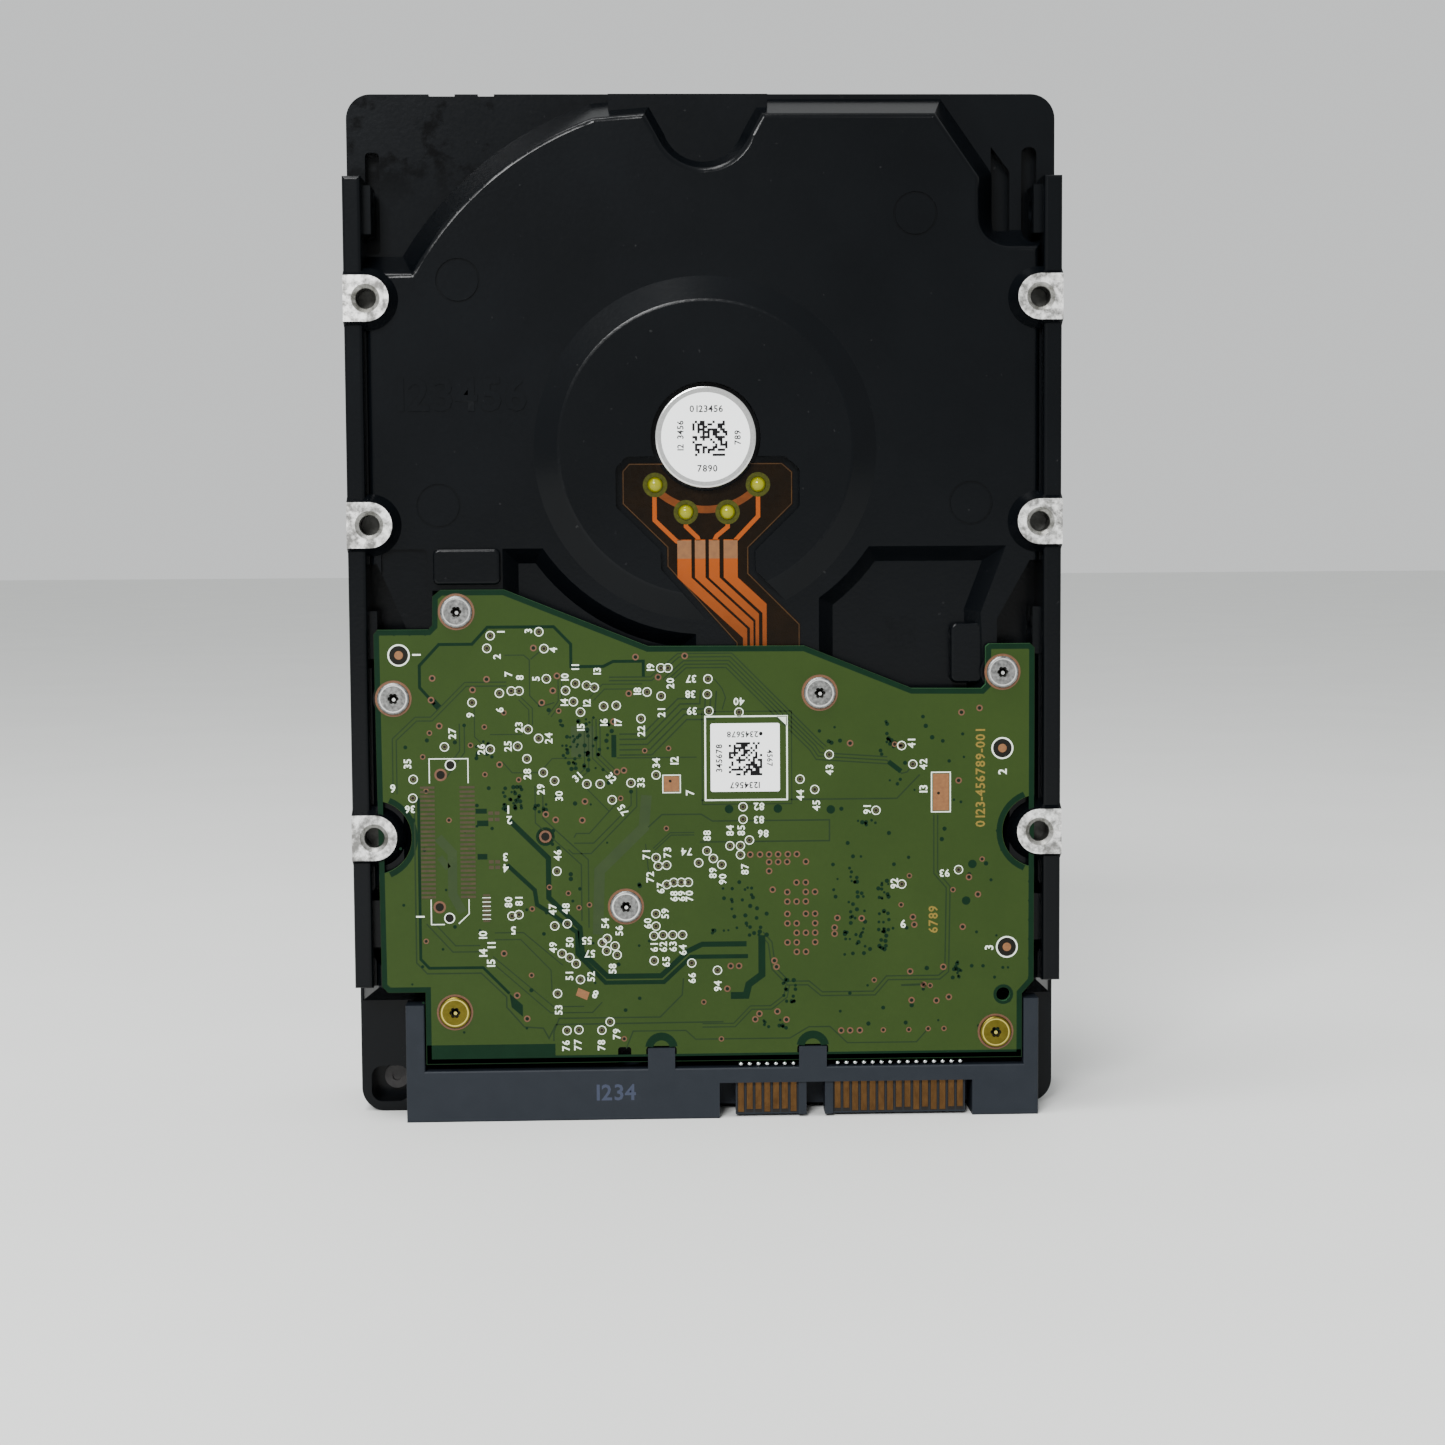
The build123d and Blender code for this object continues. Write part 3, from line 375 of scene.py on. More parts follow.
film = Finish("label_film", (0.86, 0.87, 0.87, 1), 0.38)
fibre = film.grain(0.25, 2.0)
film.tint(film.grain(12.0, 2.0), (0.88, 0.90, 0.90, 1), (0.95, 0.96, 0.96, 1))
film.vary("Roughness", 0.32 + fibre * 0.14)
film.relief(fibre, 0.08, 0.01)
film.coat("board_label", "motor_label")

rubber = Finish("moulded_rubber", (0.02, 0.02, 0.02, 1), 0.75)
bloom = rubber.grain(1.5, 4.0)
rubber.drift(bloom, (0.012, 0.012, 0.012, 1), (0.035, 0.035, 0.036, 1), 0.66, 0.2)
rubber.relief(bloom, 0.15, 0.05)
rubber.coat("cover_gasket", "crash_stops")

screw_plate = Finish("screw_plate", (0.5, 0.5, 0.495, 1), 0.34, metallic=0.85)
scuff = screw_plate.step(screw_plate.grain(0.45, 4.0, 0.6), 0.15, 0.85)
screw_plate.drift(scuff, (0.07, 0.07, 0.069, 1), (0.27, 0.27, 0.265, 1), 0.24, 0.24)
screw_plate.relief(scuff, 0.15, 0.03)
screw_plate.coat("cover_screws", "board_screws", "clamp_screws")

black_oxide = Finish("black_oxide", (0.02, 0.019, 0.02, 1), 0.4, metallic=0.6)
rub = black_oxide.grain(0.6, 4.0)
black_oxide.drift(rub, (0.008, 0.008, 0.009, 1), (0.05, 0.047, 0.046, 1), 0.32, 0.2)
black_oxide.coat("corner_screw")

ink = Finish("black_ink", (0.003, 0.003, 0.0035, 1), 0.5, Specular_IOR_Level=0.1)
ink.vary("Roughness", 0.42 + ink.grain(0.3, 2.0) * 0.2)

# The cover label is a rectangle of film with its corners rounded to 2 mm. Plain rules, bars and
# numerals stand where a drive's cover label has its table and bar codes.
quarter = np.radians(np.linspace(0.0, 90.0, 7))
label_corners = [(x + 2.0 * np.cos(quarter + turn), z + 2.0 * np.sin(quarter + turn)) for x, z,
                 turn in ((40.0, 129.0, 0.0), (-40.0, 129.0, math.pi / 2), (-40.0, 18.0, math.pi),
                          (40.0, 18.0, 1.5 * math.pi))]

# A laser-welded bead runs round the sheet, just inside its edge.
weld_path = [(x + 3.0 * math.cos(turn), z + 3.0 * math.sin(turn)) for x, z,
             start in ((46.6, 142.8, 0.0), (-46.6, 142.8, 90.0), (-46.6, 4.2, 180.0),
                       (46.6, 4.2, 270.0)) for turn in np.radians(start + np.linspace(0.0, 90.0, 7))]
cover_face = 26.1
weld = Artwork()
weld.ribbon(weld_path, 0.5, closed=True)
weld.ribbon([(x * 0.975, 73.5 + (z - 73.5) * 0.983) for x, z in weld_path], 0.12, closed=True)
weld.lay("weld_bead", cover_face - 0.065, screw_plate, "satin_aluminium", thick=0.03)
cover_film = Artwork()
cover_film.shape(np.concatenate([np.stack(corner, 1) for corner in label_corners]))
film_piece = cover_film.lay("cover_label_film", cover_face - 0.01, film, "label_paper", thick=0.08)
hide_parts("cover_label")
cover_print = Artwork()
cover_print.frame(-39.5, 39.5, 18.5, 128.5, 0.35)
for height in (98.0, 84.0, 46.0, 32.0):
    cover_print.bar(-39.5, 39.5, height, height + 0.25)
stripes = np.random.default_rng(11)
for left, low, tall, length in ((-35.0, 103.0, 9.0, 44.0), (-35.0, 35.5, 7.0, 60.0),
                                (-35.0, 21.5, 7.0, 38.0)):
    reach = 0.0
    while reach < length:
        dark, light = stripes.choice([0.3, 0.5, 0.8], 2)
        cover_print.bar(left + reach, left + reach + dark, low, low + tall)
        reach += dark + light
cover_print.speckled_square(20.0, 102.0, 14.0, 18, 3)
cover_print.number("0123456789", (-13.0, 116.5), 3.4)
for row in range(6):
    cover_print.number("01234 56789"[: 11 - row % 3], (-20.0, 79.0 - 5.2 * row), 2.2)
    cover_print.number("98765 43210"[: 11 - row % 2], (20.0, 79.0 - 5.2 * row), 2.2)
cover_print.points = [group * [-1.0, 1.0] for group in cover_print.points]  # read from the cover side
cover_print.lay("cover_label_print", cover_face - 0.004, ink, "label_paper")


# ================================================================ circuit board
# A glass-epoxy board with copper poured over most of its face, under glossy olive-green solder mask.
# The mask looks blue-green where there is no copper below it: at the edges and along the gaps.
mask_light = srgb(74, 98, 50)
board = Finish("solder_mask", mask_light, 0.34, Specular_IOR_Level=0.13)
x, y, z = board.axes()
weave = board.add("ShaderNodeTexWave", {"wave_type": "BANDS", "bands_direction": "X"},
                  {"Vector": board.spot, "Scale": 520.0, "Distortion": 2.0}, out=1)
patchy = board.grain(16.0, 4.0, 0.6)
fine = board.grain(0.7, 3.0)
pour = board.blend(patchy, srgb(32, 50, 14), srgb(45, 62, 22))
pour = board.blend(fine * 0.35, pour, srgb(29, 47, 12))
sawn = board.step(abs(y + 11.95), 0.44, 0.49)
board.tint(sawn, srgb(44, 82, 54), pour)
board.vary("Roughness", 0.28 + fine * 0.12 + (1.0 - sawn) * 0.25)
board.relief(weave * 0.25 + fine, 0.08, 0.02)
board.coat("circuit_board")

bare_edge = Finish("mask_on_laminate", srgb(4, 36, 18), 0.36, Specular_IOR_Level=0.1)
bare_edge.tint(bare_edge.grain(2.5, 4.0), srgb(0, 24, 9), srgb(3, 33, 16))
bare_edge.vary("Roughness", 0.3 + bare_edge.grain(0.8, 2.0) * 0.14)

board_outline = [(-39.0, 71.5), (-38.9, 75.6), (-37.8, 76.5), (-28.8, 76.5), (-8.4, 68.3), (13.9, 68.2),
                 (29.3, 62.0), (39.3, 61.9), (39.9, 62.5), (39.9, 67.9), (40.4, 68.3), (46.3, 68.3),
                 (46.9, 67.7), (46.9, 19.6), (45.2, 17.7), (45.2, 8.4), (-40.7, 8.4), (-40.7, 18.9),
                 (-46.0, 18.9), (-46.9, 19.8), (-47.3, 70.3), (-46.8, 70.9), (-39.6, 70.9)]
board_face = 0.6
notch_radius = 5.75


def layer(number):
    """Depth of a printed or etched layer. Layers lie 2 microns apart, counted up from the board's face."""
    return board_face - 0.002 * number


def notch_path(side):
    """Arc of the cut-out round a lower lug: centre + notch_radius (cos a, sin a), on the board's side."""
    turn = np.radians(np.linspace(248.0, 112.0, 17) if side > 0 else np.linspace(292.0, 428.0, 17))
    return np.stack([side * lug_x + notch_radius * np.cos(turn),
                     lug_z[0] + notch_radius * np.sin(turn)], 1)


edges = Artwork()
edges.ribbon(board_outline, 0.75, shift=-0.39, closed=True)
edges.bar(-40.6, -22.2, 8.5, 11.2)
edges.bar(-22.2, 45.1, 8.5, 9.5)
for side in (-1, 1):
    edges.ribbon(notch_path(side), 0.8)
edges.ring((-23.3, 41.2), 1.35, 1.02)
edges.ring((42.5, 17.6), 1.45, 1.02)
for left, right in ((-8.9, -5.0), (12.9, 16.9)):
    edges.ring(((left + right) / 2, 10.3), 2.35, 1.2, sides=12, start=8.0, sweep=164.0)
edges.lay("board_bare_edges", layer(3), bare_edge, "board_laminate")


# The etched copper: signals run as raised lines under the mask, each with a dark gap on both sides.
# Wide supply runs show as dark bands where the pour is cut back.
gap_line = Finish("etched_gap", srgb(20, 38, 14), 0.4, Specular_IOR_Level=0.15)
gap_line.tint(gap_line.grain(3.0, 3.0), srgb(14, 34, 14), srgb(26, 44, 16))

gaps = Artwork()
gaps.ribbon([(-28.8, 67.2), (-26.1, 67.2), (-25.3, 66.5), (-25.3, 61.4), (-23.8, 59.8), (-21.8, 60.4)],
            0.16)
gaps.ribbon([(-23.7, 67.8), (-25.1, 66.6)], 0.16)
gaps.bus([(-44.6, 47.5), (-44.6, 55.3), (-41.5, 58.2), (-39.3, 58.2), (-34.4, 63.1), (-28.6, 63.1)],
         2, 0.55, 0.16)
gaps.bus([(-26.7, 61.0), (-25.2, 59.5), (-25.2, 57.2)], 2, 0.5, 0.14)
gaps.ribbon([(-31.0, 53.4), (-33.2, 55.6), (-33.2, 59.9)], 0.14)
gaps.ribbon([(-31.0, 55.9), (-26.4, 55.9)], 0.14)
gaps.ribbon([(-29.3, 52.0), (-27.9, 50.4), (-24.0, 50.4), (-22.2, 52.4), (-18.0, 52.4)], 0.14)
gaps.bus([(-35.0, 57.5), (-35.0, 53.5), (-37.6, 50.0)], 2, 0.7, 0.16)
gaps.bus([(-22.5, 58.5), (-21.0, 60.5), (-21.0, 64.5)], 2, 0.5, 0.14)
gaps.bus([(-17.3, 56.5), (-17.3, 50.7), (-18.6, 49.6)], 2, 0.6, 0.14)
gaps.bus([(-15.9, 58.0), (-15.9, 52.6), (-12.9, 49.6)], 3, 0.55, 0.16)
gaps.bus([(-16.5, 60.9), (-14.8, 62.6), (-9.3, 62.6)], 2, 0.7, 0.14)
gaps.bus([(-14.0, 63.7), (-8.0, 63.7), (-4.1, 67.0), (3.4, 67.0), (15.9, 54.4), (16.8, 53.6)],
         2, 0.5, 0.17)
gaps.bus([(-6.0, 63.2), (-3.2, 65.7), (2.9, 65.7), (15.0, 53.6), (15.8, 52.4), (25.7, 51.7)],
         3, 0.5, 0.17)
gaps.ribbon([(25.7, 51.7), (27.8, 49.8), (28.6, 50.0), (29.3, 51.0)], 0.18)
gaps.bus([(-12.6, 54.3), (-8.6, 54.3), (-3.6, 59.3), (-0.4, 59.3), (-0.2, 62.0)], 5, 0.75, 0.2)
gaps.ribbon([(-13.0, 52.4), (-1.6, 52.4)], 0.16)
gaps.ribbon([(1.0, 63.6), (2.1, 62.2), (2.6, 60.9), (2.1, 59.2)], 0.14)
gaps.ribbon([(-24.7, 48.5), (-24.7, 43.2), (-18.2, 37.1), (-18.2, 29.0)], 0.17)
gaps.ribbon([(-23.6, 48.0), (-23.6, 43.8), (-17.2, 37.8), (-17.2, 28.0)], 0.17)
gaps.ribbon([(-19.2, 41.0), (-18.9, 41.6), (-17.0, 41.6), (-13.0, 46.0)], 0.16)
gaps.ribbon([(-19.2, 40.2), (-16.4, 40.2), (-11.0, 45.6), (-11.0, 47.8)], 0.16)
gaps.ribbon([(-20.0, 39.3), (-19.4, 38.7), (-16.8, 38.7), (-10.2, 45.4), (-10.2, 49.0)], 0.16)
gaps.ribbon([(-17.4, 48.1), (-14.2, 44.8)], 0.14)
gaps.ribbon([(-8.6, 42.4), (-6.6, 44.2), (-1.0, 44.2), (0.6, 43.2), (17.4, 43.2), (17.4, 40.2),
             (-1.2, 40.2)], 0.2)
gaps.bus([(-7.8, 39.2), (-5.4, 41.4), (-2.0, 41.4)], 2, 0.35, 0.15)
gaps.ribbon([(-9.0, 40.0), (-8.6, 36.0)], 0.15)
gaps.ribbon([(-1.0, 46.2), (27.1, 46.2), (30.4, 49.6)], 0.2)
gaps.ribbon([(-41.9, 46.9), (-41.9, 23.2), (-40.4, 21.6), (-32.7, 21.6), (-29.1, 18.1), (-29.1, 16.6),
             (-26.6, 13.7), (-23.9, 13.5), (-23.1, 12.0), (-22.1, 14.0), (2.0, 14.1)], 0.2)
gaps.ribbon([(-22.4, 11.6), (-22.4, 12.9), (-21.6, 14.9), (-7.1, 14.9), (-3.9, 18.1), (-3.7, 20.5)], 0.18)
gaps.ribbon([(-12.0, 10.4), (-11.0, 12.9), (-3.4, 12.9), (-2.0, 11.6), (11.6, 11.6), (14.3, 13.2),
             (17.4, 13.2), (19.9, 10.8), (29.9, 10.8), (31.6, 12.7)], 0.17)
gaps.ribbon([(-40.4, 28.8), (-36.7, 24.7), (-32.8, 24.7)], 0.17)
gaps.ribbon([(-39.9, 29.6), (-36.3, 25.6), (-32.8, 25.6)], 0.17)
gaps.ribbon([(-30.7, 27.4), (-26.6, 27.4), (-21.0, 22.6)], 0.15)
gaps.ribbon([(-30.7, 26.4), (-27.0, 26.4), (-22.7, 21.9), (-22.6, 18.9)], 0.15)
gaps.ribbon([(-31.0, 23.0), (-22.8, 15.7), (-16.8, 15.7), (-15.4, 17.2)], 0.15)
gaps.ribbon([(-31.0, 24.0), (-22.4, 16.6), (-18.0, 16.6)], 0.15)
gaps.bus([(32.7, 43.8), (32.7, 35.4), (34.5, 33.3), (34.3, 21.1), (33.2, 20.2), (25.7, 20.2),
          (23.8, 18.0), (16.2, 18.0), (14.3, 19.6), (11.4, 19.6), (9.3, 21.8), (8.8, 25.5),
          (7.6, 26.9)], 2, 0.55, 0.18)
gaps.bus([(11.3, 19.3), (11.0, 17.7), (8.9, 16.1), (6.0, 16.1), (3.6, 13.6), (-1.0, 13.6)], 2, 0.5, 0.16)
gaps.ribbon([(27.7, 19.1), (31.2, 19.2)], 0.3)
gaps.ribbon([(-0.8, 58.9), (12.0, 58.9), (12.0, 45.6), (-0.8, 45.6)], 0.14, closed=True)
gaps.lay("etched_gaps", layer(4), gap_line, "board_laminate")

bands = Artwork()
bands.ribbon([(-38.8, 60.3), (-40.9, 62.7), (-40.9, 65.8), (-38.1, 68.8), (-33.4, 68.8), (-31.2, 71.2),
              (-21.8, 71.2), (-19.4, 68.7), (-19.4, 65.5), (-14.8, 65.5), (-13.4, 66.2), (-9.1, 66.2),
              (-9.1, 64.0)], 0.42)
bands.ribbon([(-38.2, 59.8), (-39.2, 60.9)], 0.9)
bands.ribbon([(-28.4, 43.6), (-22.9, 38.1), (-22.9, 32.4), (-18.5, 28.0), (-18.2, 24.4), (-14.6, 20.9),
              (-6.9, 20.9), (-3.1, 24.4), (-1.0, 25.4), (5.4, 25.4)], 0.75)
bands.ribbon([(-28.8, 37.2), (-24.9, 33.5), (-24.6, 31.4), (-22.4, 30.0), (-18.9, 27.3), (-18.9, 24.2),
              (-14.9, 20.0), (-6.5, 20.0), (-2.6, 23.6), (5.6, 23.6)], 0.6)
bands.ribbon([(7.6, 26.6), (7.6, 20.9), (5.7, 19.5), (5.3, 17.9), (3.1, 17.9)], 1.0)
bands.ribbon([(-41.3, 46.9), (-41.3, 23.7), (-40.1, 22.4), (-32.4, 22.4), (-28.7, 18.6)], 0.4)
bands.shape([(-28.7, 18.6), (-28.4, 16.6), (-26.8, 15.2), (-26.8, 16.9)])
bands.ribbon([(-13.4, 55.7), (-13.4, 52.5)], 0.7)
bands.ribbon([(25.9, 51.5), (27.7, 50.1)], 0.7)
bands.bar(-33.0, -31.4, 42.8, 43.6)
bands.bar(-33.2, -31.6, 44.6, 45.3)
bands.bar(-33.0, -31.6, 38.0, 38.8)
bands.lay("dark_bands", layer(6), bare_edge, "board_laminate")

inner_band = Finish("inner_copper_shadow", srgb(34, 50, 20), 0.38, Specular_IOR_Level=0.2)
inner_band.tint(inner_band.grain(2.0, 3.0), srgb(29, 45, 18), srgb(40, 55, 23))
shadows = Artwork()
shadows.ribbon([(-8.8, 47.0), (-9.2, 42.4), (-15.6, 36.2), (-15.9, 27.0)], 1.5)
shadows.ribbon([(-38.6, 41.2), (-36.6, 39.0), (-36.6, 33.0), (-35.2, 30.4)], 1.3)
shadows.ribbon([(-38.4, 38.4), (-37.2, 36.8)], 0.9)
shadows.bar(-19.5, -16.2, 52.6, 57.0)
shadows.lay("copper_shadows", layer(2), inner_band, "board_laminate")

# Plated holes: rusty rings where the mask leaves the copper bare, and dark blue-green dimples where
# the mask runs over them.
bare_copper = Finish("dull_copper", srgb(126, 84, 42), 0.45, metallic=0.1)
tarnish = bare_copper.grain(0.5, 4.0)
bare_copper.drift(tarnish, srgb(92, 54, 24), srgb(132, 86, 42), 0.34, 0.2)
ring_copper = Finish("edge_copper", srgb(82, 48, 22), 0.45)
ring_copper.tint(ring_copper.grain(0.5, 4.0), srgb(62, 36, 16), srgb(102, 60, 28))
hole_dark = Finish("hole_shadow", srgb(12, 12, 6), 0.6, Specular_IOR_Level=0.15)
hole_dark.vary("Roughness", 0.5 + hole_dark.grain(0.4, 2.0) * 0.3)

holes = Artwork()
rings = Artwork()
dimples = Artwork()
open_places = [(11.4, 38.3), (12.7, 38.3), (14.0, 37.2), (8.7, 37.2), (10.0, 37.2), (11.3, 37.2),
               (8.7, 35.9), (6.0, 38.3), (7.4, 38.3), (8.7, 38.3), (10.0, 38.3), (9.2, 33.2),
               (29.4, 29.0), (29.6, 27.9), (18.5, 29.0), (18.1, 27.6), (18.1, 26.7), (22.0, 28.9),
               (33.8, 21.7), (29.0, 21.1), (29.2, 16.9), (32.8, 16.8), (34.6, 17.3), (37.5, 34.7),
               (38.8, 32.2), (36.6, 27.5), (9.4, 22.9), (9.7, 22.0), (3.1, 22.2), (4.3, 22.2),
               (2.6, 18.9), (6.6, 14.4), (7.2, 15.2), (9.8, 15.5), (11.1, 14.3), (19.0, 12.6),
               (20.3, 12.6), (21.7, 12.6), (36.4, 58.5), (39.0, 59.1), (36.0, 48.7), (-23.2, 44.4),
               (-17.6, 46.2), (-18.0, 43.5), (-21.8, 43.6), (-29.4, 24.4), (-27.6, 18.3), (-26.2, 14.9),
               (-39.3, 60.9), (-39.1, 64.0), (-33.4, 62.3), (-31.4, 63.8), (-38.2, 57.2), (-29.7, 51.6),
               (-23.6, 60.4), (-22.0, 62.1), (-21.4, 64.2), (-24.7, 68.2), (-10.2, 66.8), (-3.2, 66.9),
               (-11.2, 61.6), (-13.4, 57.6), (-13.0, 50.4), (-12.0, 50.6), (-7.0, 63.9), (20.4, 54.2)]
for column in range(4):
    for row in range(8):
        if (column * 5 + row * 3) % 7 > 1:
            open_places.append((11.3 + 1.33 * column, 34.2 - 1.38 * row - 0.4 * (row > 2)))
dark_places = [(-25.5, 21.2), (-22.8, 33.9), (-20.1, 33.0), (-18.6, 30.9), (-17.1, 31.3), (-40.5, 26.3),
               (-40.6, 52.8), (-39.6, 56.2), (-31.8, 50.2), (-27.0, 49.4), (-33.8, 54.4), (-31.8, 57.0),
               (-21.2, 59.2), (-6.0, 42.2), (-12.5, 46.6), (-25.3, 30.8), (28.9, 35.0), (27.7, 30.8),
               (23.8, 19.9), (30.9, 19.1), (31.9, 19.0), (-0.8, 17.0), (1.7, 11.6), (25.1, 12.6),
               (28.8, 12.6), (31.6, 12.7), (33.9, 12.7), (-12.3, 11.8), (35.2, 32.9), (39.4, 37.3),
               (-5.6, 53.7), (-37.0, 43.7), (-29.0, 59.0), (31.0, 19.2), (26.8, 54.0), (27.6, 53.8),
               (-40.2, 47.9), (-9.0, 53.4)]
for place in open_places:
    rings.ring(place, 0.48, 0.27, sides=14)
    dimples.disc(place, 0.27, sides=10)
    holes.disc(place, 0.12, sides=6)
for place in dark_places:
    rings.ring(place, 0.4, 0.24, sides=12)
    holes.disc(place, 0.2, sides=8)
scatter = np.random.default_rng(21)
for x0, x1, z0, z1, count in ((1.0, 6.4, 31.5, 34.4, 12), (0.4, 9.0, 26.6, 31.0, 22),
                              (17.6, 22.6, 32.0, 38.2, 16), (19.5, 22.5, 23.6, 31.5, 24),
                              (24.4, 26.0, 24.2, 34.5, 34), (6.8, 11.6, 13.0, 14.8, 9),
                              (10.4, 12.6, 16.6, 20.4, 16), (21.4, 24.6, 42.4, 43.1, 7),
                              (35.0, 36.4, 20.0, 22.6, 12), (-21.0, -14.0, 50.6, 58.0, 60),
                              (-25.4, -22.4, 44.6, 46.0, 8), (-29.9, -26.6, 45.0, 48.4, 30),
                              (-33.0, -31.0, 52.4, 55.0, 12), (25.6, 27.2, 53.6, 55.2, 9),
                              (16.0, 38.0, 44.6, 58.0, 26), (-44.0, -8.0, 13.0, 60.0, 60),
                              (18.0, 44.0, 12.0, 42.0, 40)):
    for place in scatter.uniform((x0, z0), (x1, z1), (count, 2)):
        dimples.disc(place, scatter.uniform(0.16, 0.34), sides=8)
for place in ((38.0, 36.6), (37.1, 31.3), (3.0, 44.9), (10.0, 44.9), (17.6, 44.7)):
    dimples.disc(place, 0.62, sides=14)
stitch = [((-38.0, 76.0), (-28.8, 75.9)), ((-28.4, 75.7), (-8.6, 67.7)), ((14.2, 67.5), (29.0, 61.5)),
          ((29.6, 61.4), (39.0, 61.3)), ((46.3, 66.5), (46.3, 50.0)), ((-46.6, 70.2), (-40.0, 70.2)),
          ((46.2, 34.0), (46.2, 20.0)), ((-38.0, 10.0), (-24.0, 10.0))]
for start, end in stitch:
    run = np.linspace(start, end, 2 + int(math.dist(start, end) / 2.9))
    for place in run:
        dimples.disc(place, 0.17, sides=6)
dimples.lay("masked_holes", layer(7), bare_edge, "board_laminate")


# Test points: a tinned pad in a white printed ring, with its number beside it. Fiducials are larger.
test_points = [(-30.8, 70.0, 90, 1.5, 0.4), (-31.3, 68.2, 90, 1.4, -1.2), (-23.9, 70.5, 90, -1.5, 0.1),
               (-23.2, 68.1, 90, 1.3, -0.2), (-22.9, 63.8, 90, -1.5, 0.0), (-29.6, 61.8, 90, 0.0, -2.4),
               (-27.9, 62.1, 90, -0.4, 2.4), (-26.8, 62.1, 90, 0.1, 1.9), (-33.5, 60.5, 90, -0.3, -1.8),
               (-20.2, 62.1, 90, -0.1, 1.8), (-18.8, 63.1, 90, 0.0, 2.2), (-17.2, 62.8, 90, 0.0, -2.6),
               (-16.1, 62.5, 90, 0.4, 2.2), (-19.1, 60.5, 90, -1.3, -0.2), (-18.1, 59.0, 90, 0.0, -2.3),
               (-14.8, 59.8, 90, 0.0, -2.4), (-13.0, 59.9, 90, 0.2, -2.5), (-8.6, 61.8, 90, -1.4, 0.0),
               (-6.6, 65.2, 90, -1.5, 0.0), (-5.6, 65.2, 90, 0.3, -2.2), (-6.6, 61.2, 90, 0.0, -2.4),
               (-9.5, 58.0, 90, 0.0, -1.8), (-25.6, 56.6, 90, -1.3, 0.3), (-24.1, 55.3, 90, 1.4, 0.0),
               (-27.1, 54.2, 90, -1.4, 0.0), (-31.0, 53.8, 90, -1.3, 0.0), (-37.5, 54.2, 90, 1.1, 1.9),
               (-25.8, 52.4, 90, 0.0, -2.2), (-23.5, 50.4, 90, -0.4, -2.4), (-21.9, 49.2, 90, 0.6, -2.2),
               (-17.3, 48.7, 40, -1.4, 1.0), (-15.4, 48.7, -50, 1.6, 0.9), (-11.0, 48.8, 90, 1.4, 0.0),
               (-7.4, 49.9, 90, 0.0, 1.7), (-42.0, 49.6, 90, -0.8, 2.2), (-42.1, 46.9, 180, -0.4, -1.6),
               (0.1, 63.6, 180, -2.4, 0.0), (0.0, 61.4, 180, -2.4, 0.0), (0.2, 59.0, 180, -2.4, 0.0),
               (4.5, 58.8, 180, 0.0, 1.5), (27.8, 53.8, 90, 1.4, 0.3), (29.4, 51.1, 90, 1.5, 0.0),
               (17.4, 52.6, 90, 0.0, -2.2), (13.2, 49.1, 90, 0.0, -2.3), (15.3, 47.6, 90, 0.2, -2.3),
               (-21.7, 36.2, 90, 0.1, 2.3), (-22.1, 28.3, 90, -0.3, 2.4), (-20.3, 28.6, 90, -0.2, 2.2),
               (-21.1, 24.3, 90, -1.3, 0.9), (-20.0, 23.7, 90, 0.0, 2.2), (-19.1, 22.8, 90, -1.0, -1.8),
               (-18.5, 20.5, 90, 1.5, 0.4), (-21.8, 18.5, 90, 0.1, -2.4), (-14.6, 26.4, 90, -0.3, 2.2),
               (-15.3, 25.8, 180, -2.2, 0.3), (-13.5, 25.3, 90, 0.6, 2.2), (-14.7, 24.6, 180, -2.4, -0.4),
               (-13.2, 24.0, 90, -0.7, -2.0), (-7.6, 29.9, 90, 1.3, 0.0), (-7.6, 28.1, 90, -1.2, 0.4),
               (-7.9, 26.7, 90, 0.0, -1.7), (-6.6, 26.8, 90, 0.0, -1.7), (-5.2, 26.8, 90, 0.0, -1.7),
               (-3.8, 26.8, 90, 0.0, -2.2), (-7.9, 23.1, 90, 1.7, -0.2), (-2.5, 22.7, 90, 0.0, -2.2),
               (-6.0, 34.1, 90, -0.9, -0.5), (-5.0, 34.4, 90, 0.0, -2.0), (-3.9, 34.4, 90, 0.0, -2.0),
               (-2.9, 34.4, 90, 0.1, -2.0), (-7.5, 38.0, 90, -1.4, 0.4), (-7.2, 36.8, 90, -1.2, -1.6),
               (-6.0, 36.9, 90, 0.1, 1.8), (-1.4, 37.2, 180, -1.7, 1.6), (-13.7, 46.4, 125, 1.5, -1.5),
               (-20.5, 13.1, 90, -0.2, -2.2), (-18.8, 13.2, 90, -0.2, -2.2),
               (-15.5, 13.1, 90, -0.1, -2.2), (-14.3, 14.3, 90, 0.9, -1.8), (-28.2, 29.8, 90, -0.5, 2.0),
               (-27.2, 30.0, 90, 0.0, 1.9), (5.0, 45.2, 180, 2.3, 0.0), (5.0, 43.4, 180, 2.3, -0.1),
               (3.1, 39.6, 90, 0.0, 2.2), (4.6, 39.6, 90, 0.1, 2.2), (5.9, 40.4, 180, 2.0, 0.9),
               (4.6, 38.3, 90, 0.6, -2.1), (-0.2, 38.9, 90, 0.0, 2.2), (0.7, 37.8, 90, -0.1, -2.1),
               (1.9, 36.9, 90, 0.1, -2.1), (24.1, 44.5, 90, -1.3, 0.1), (27.8, 33.8, 90, -1.1, 0.1),
               (36.0, 35.8, 180, -2.0, -0.5), (1.2, 21.6, 90, 0.0, -2.3)]
silk_white = Finish("white_print", srgb(214, 224, 208), 0.55)
silk_white.tint(silk_white.grain(0.4, 3.0), srgb(196, 208, 190), srgb(230, 238, 224))
tin_pad = Finish("tinned_pad", srgb(70, 66, 44), 0.34, metallic=0.5)
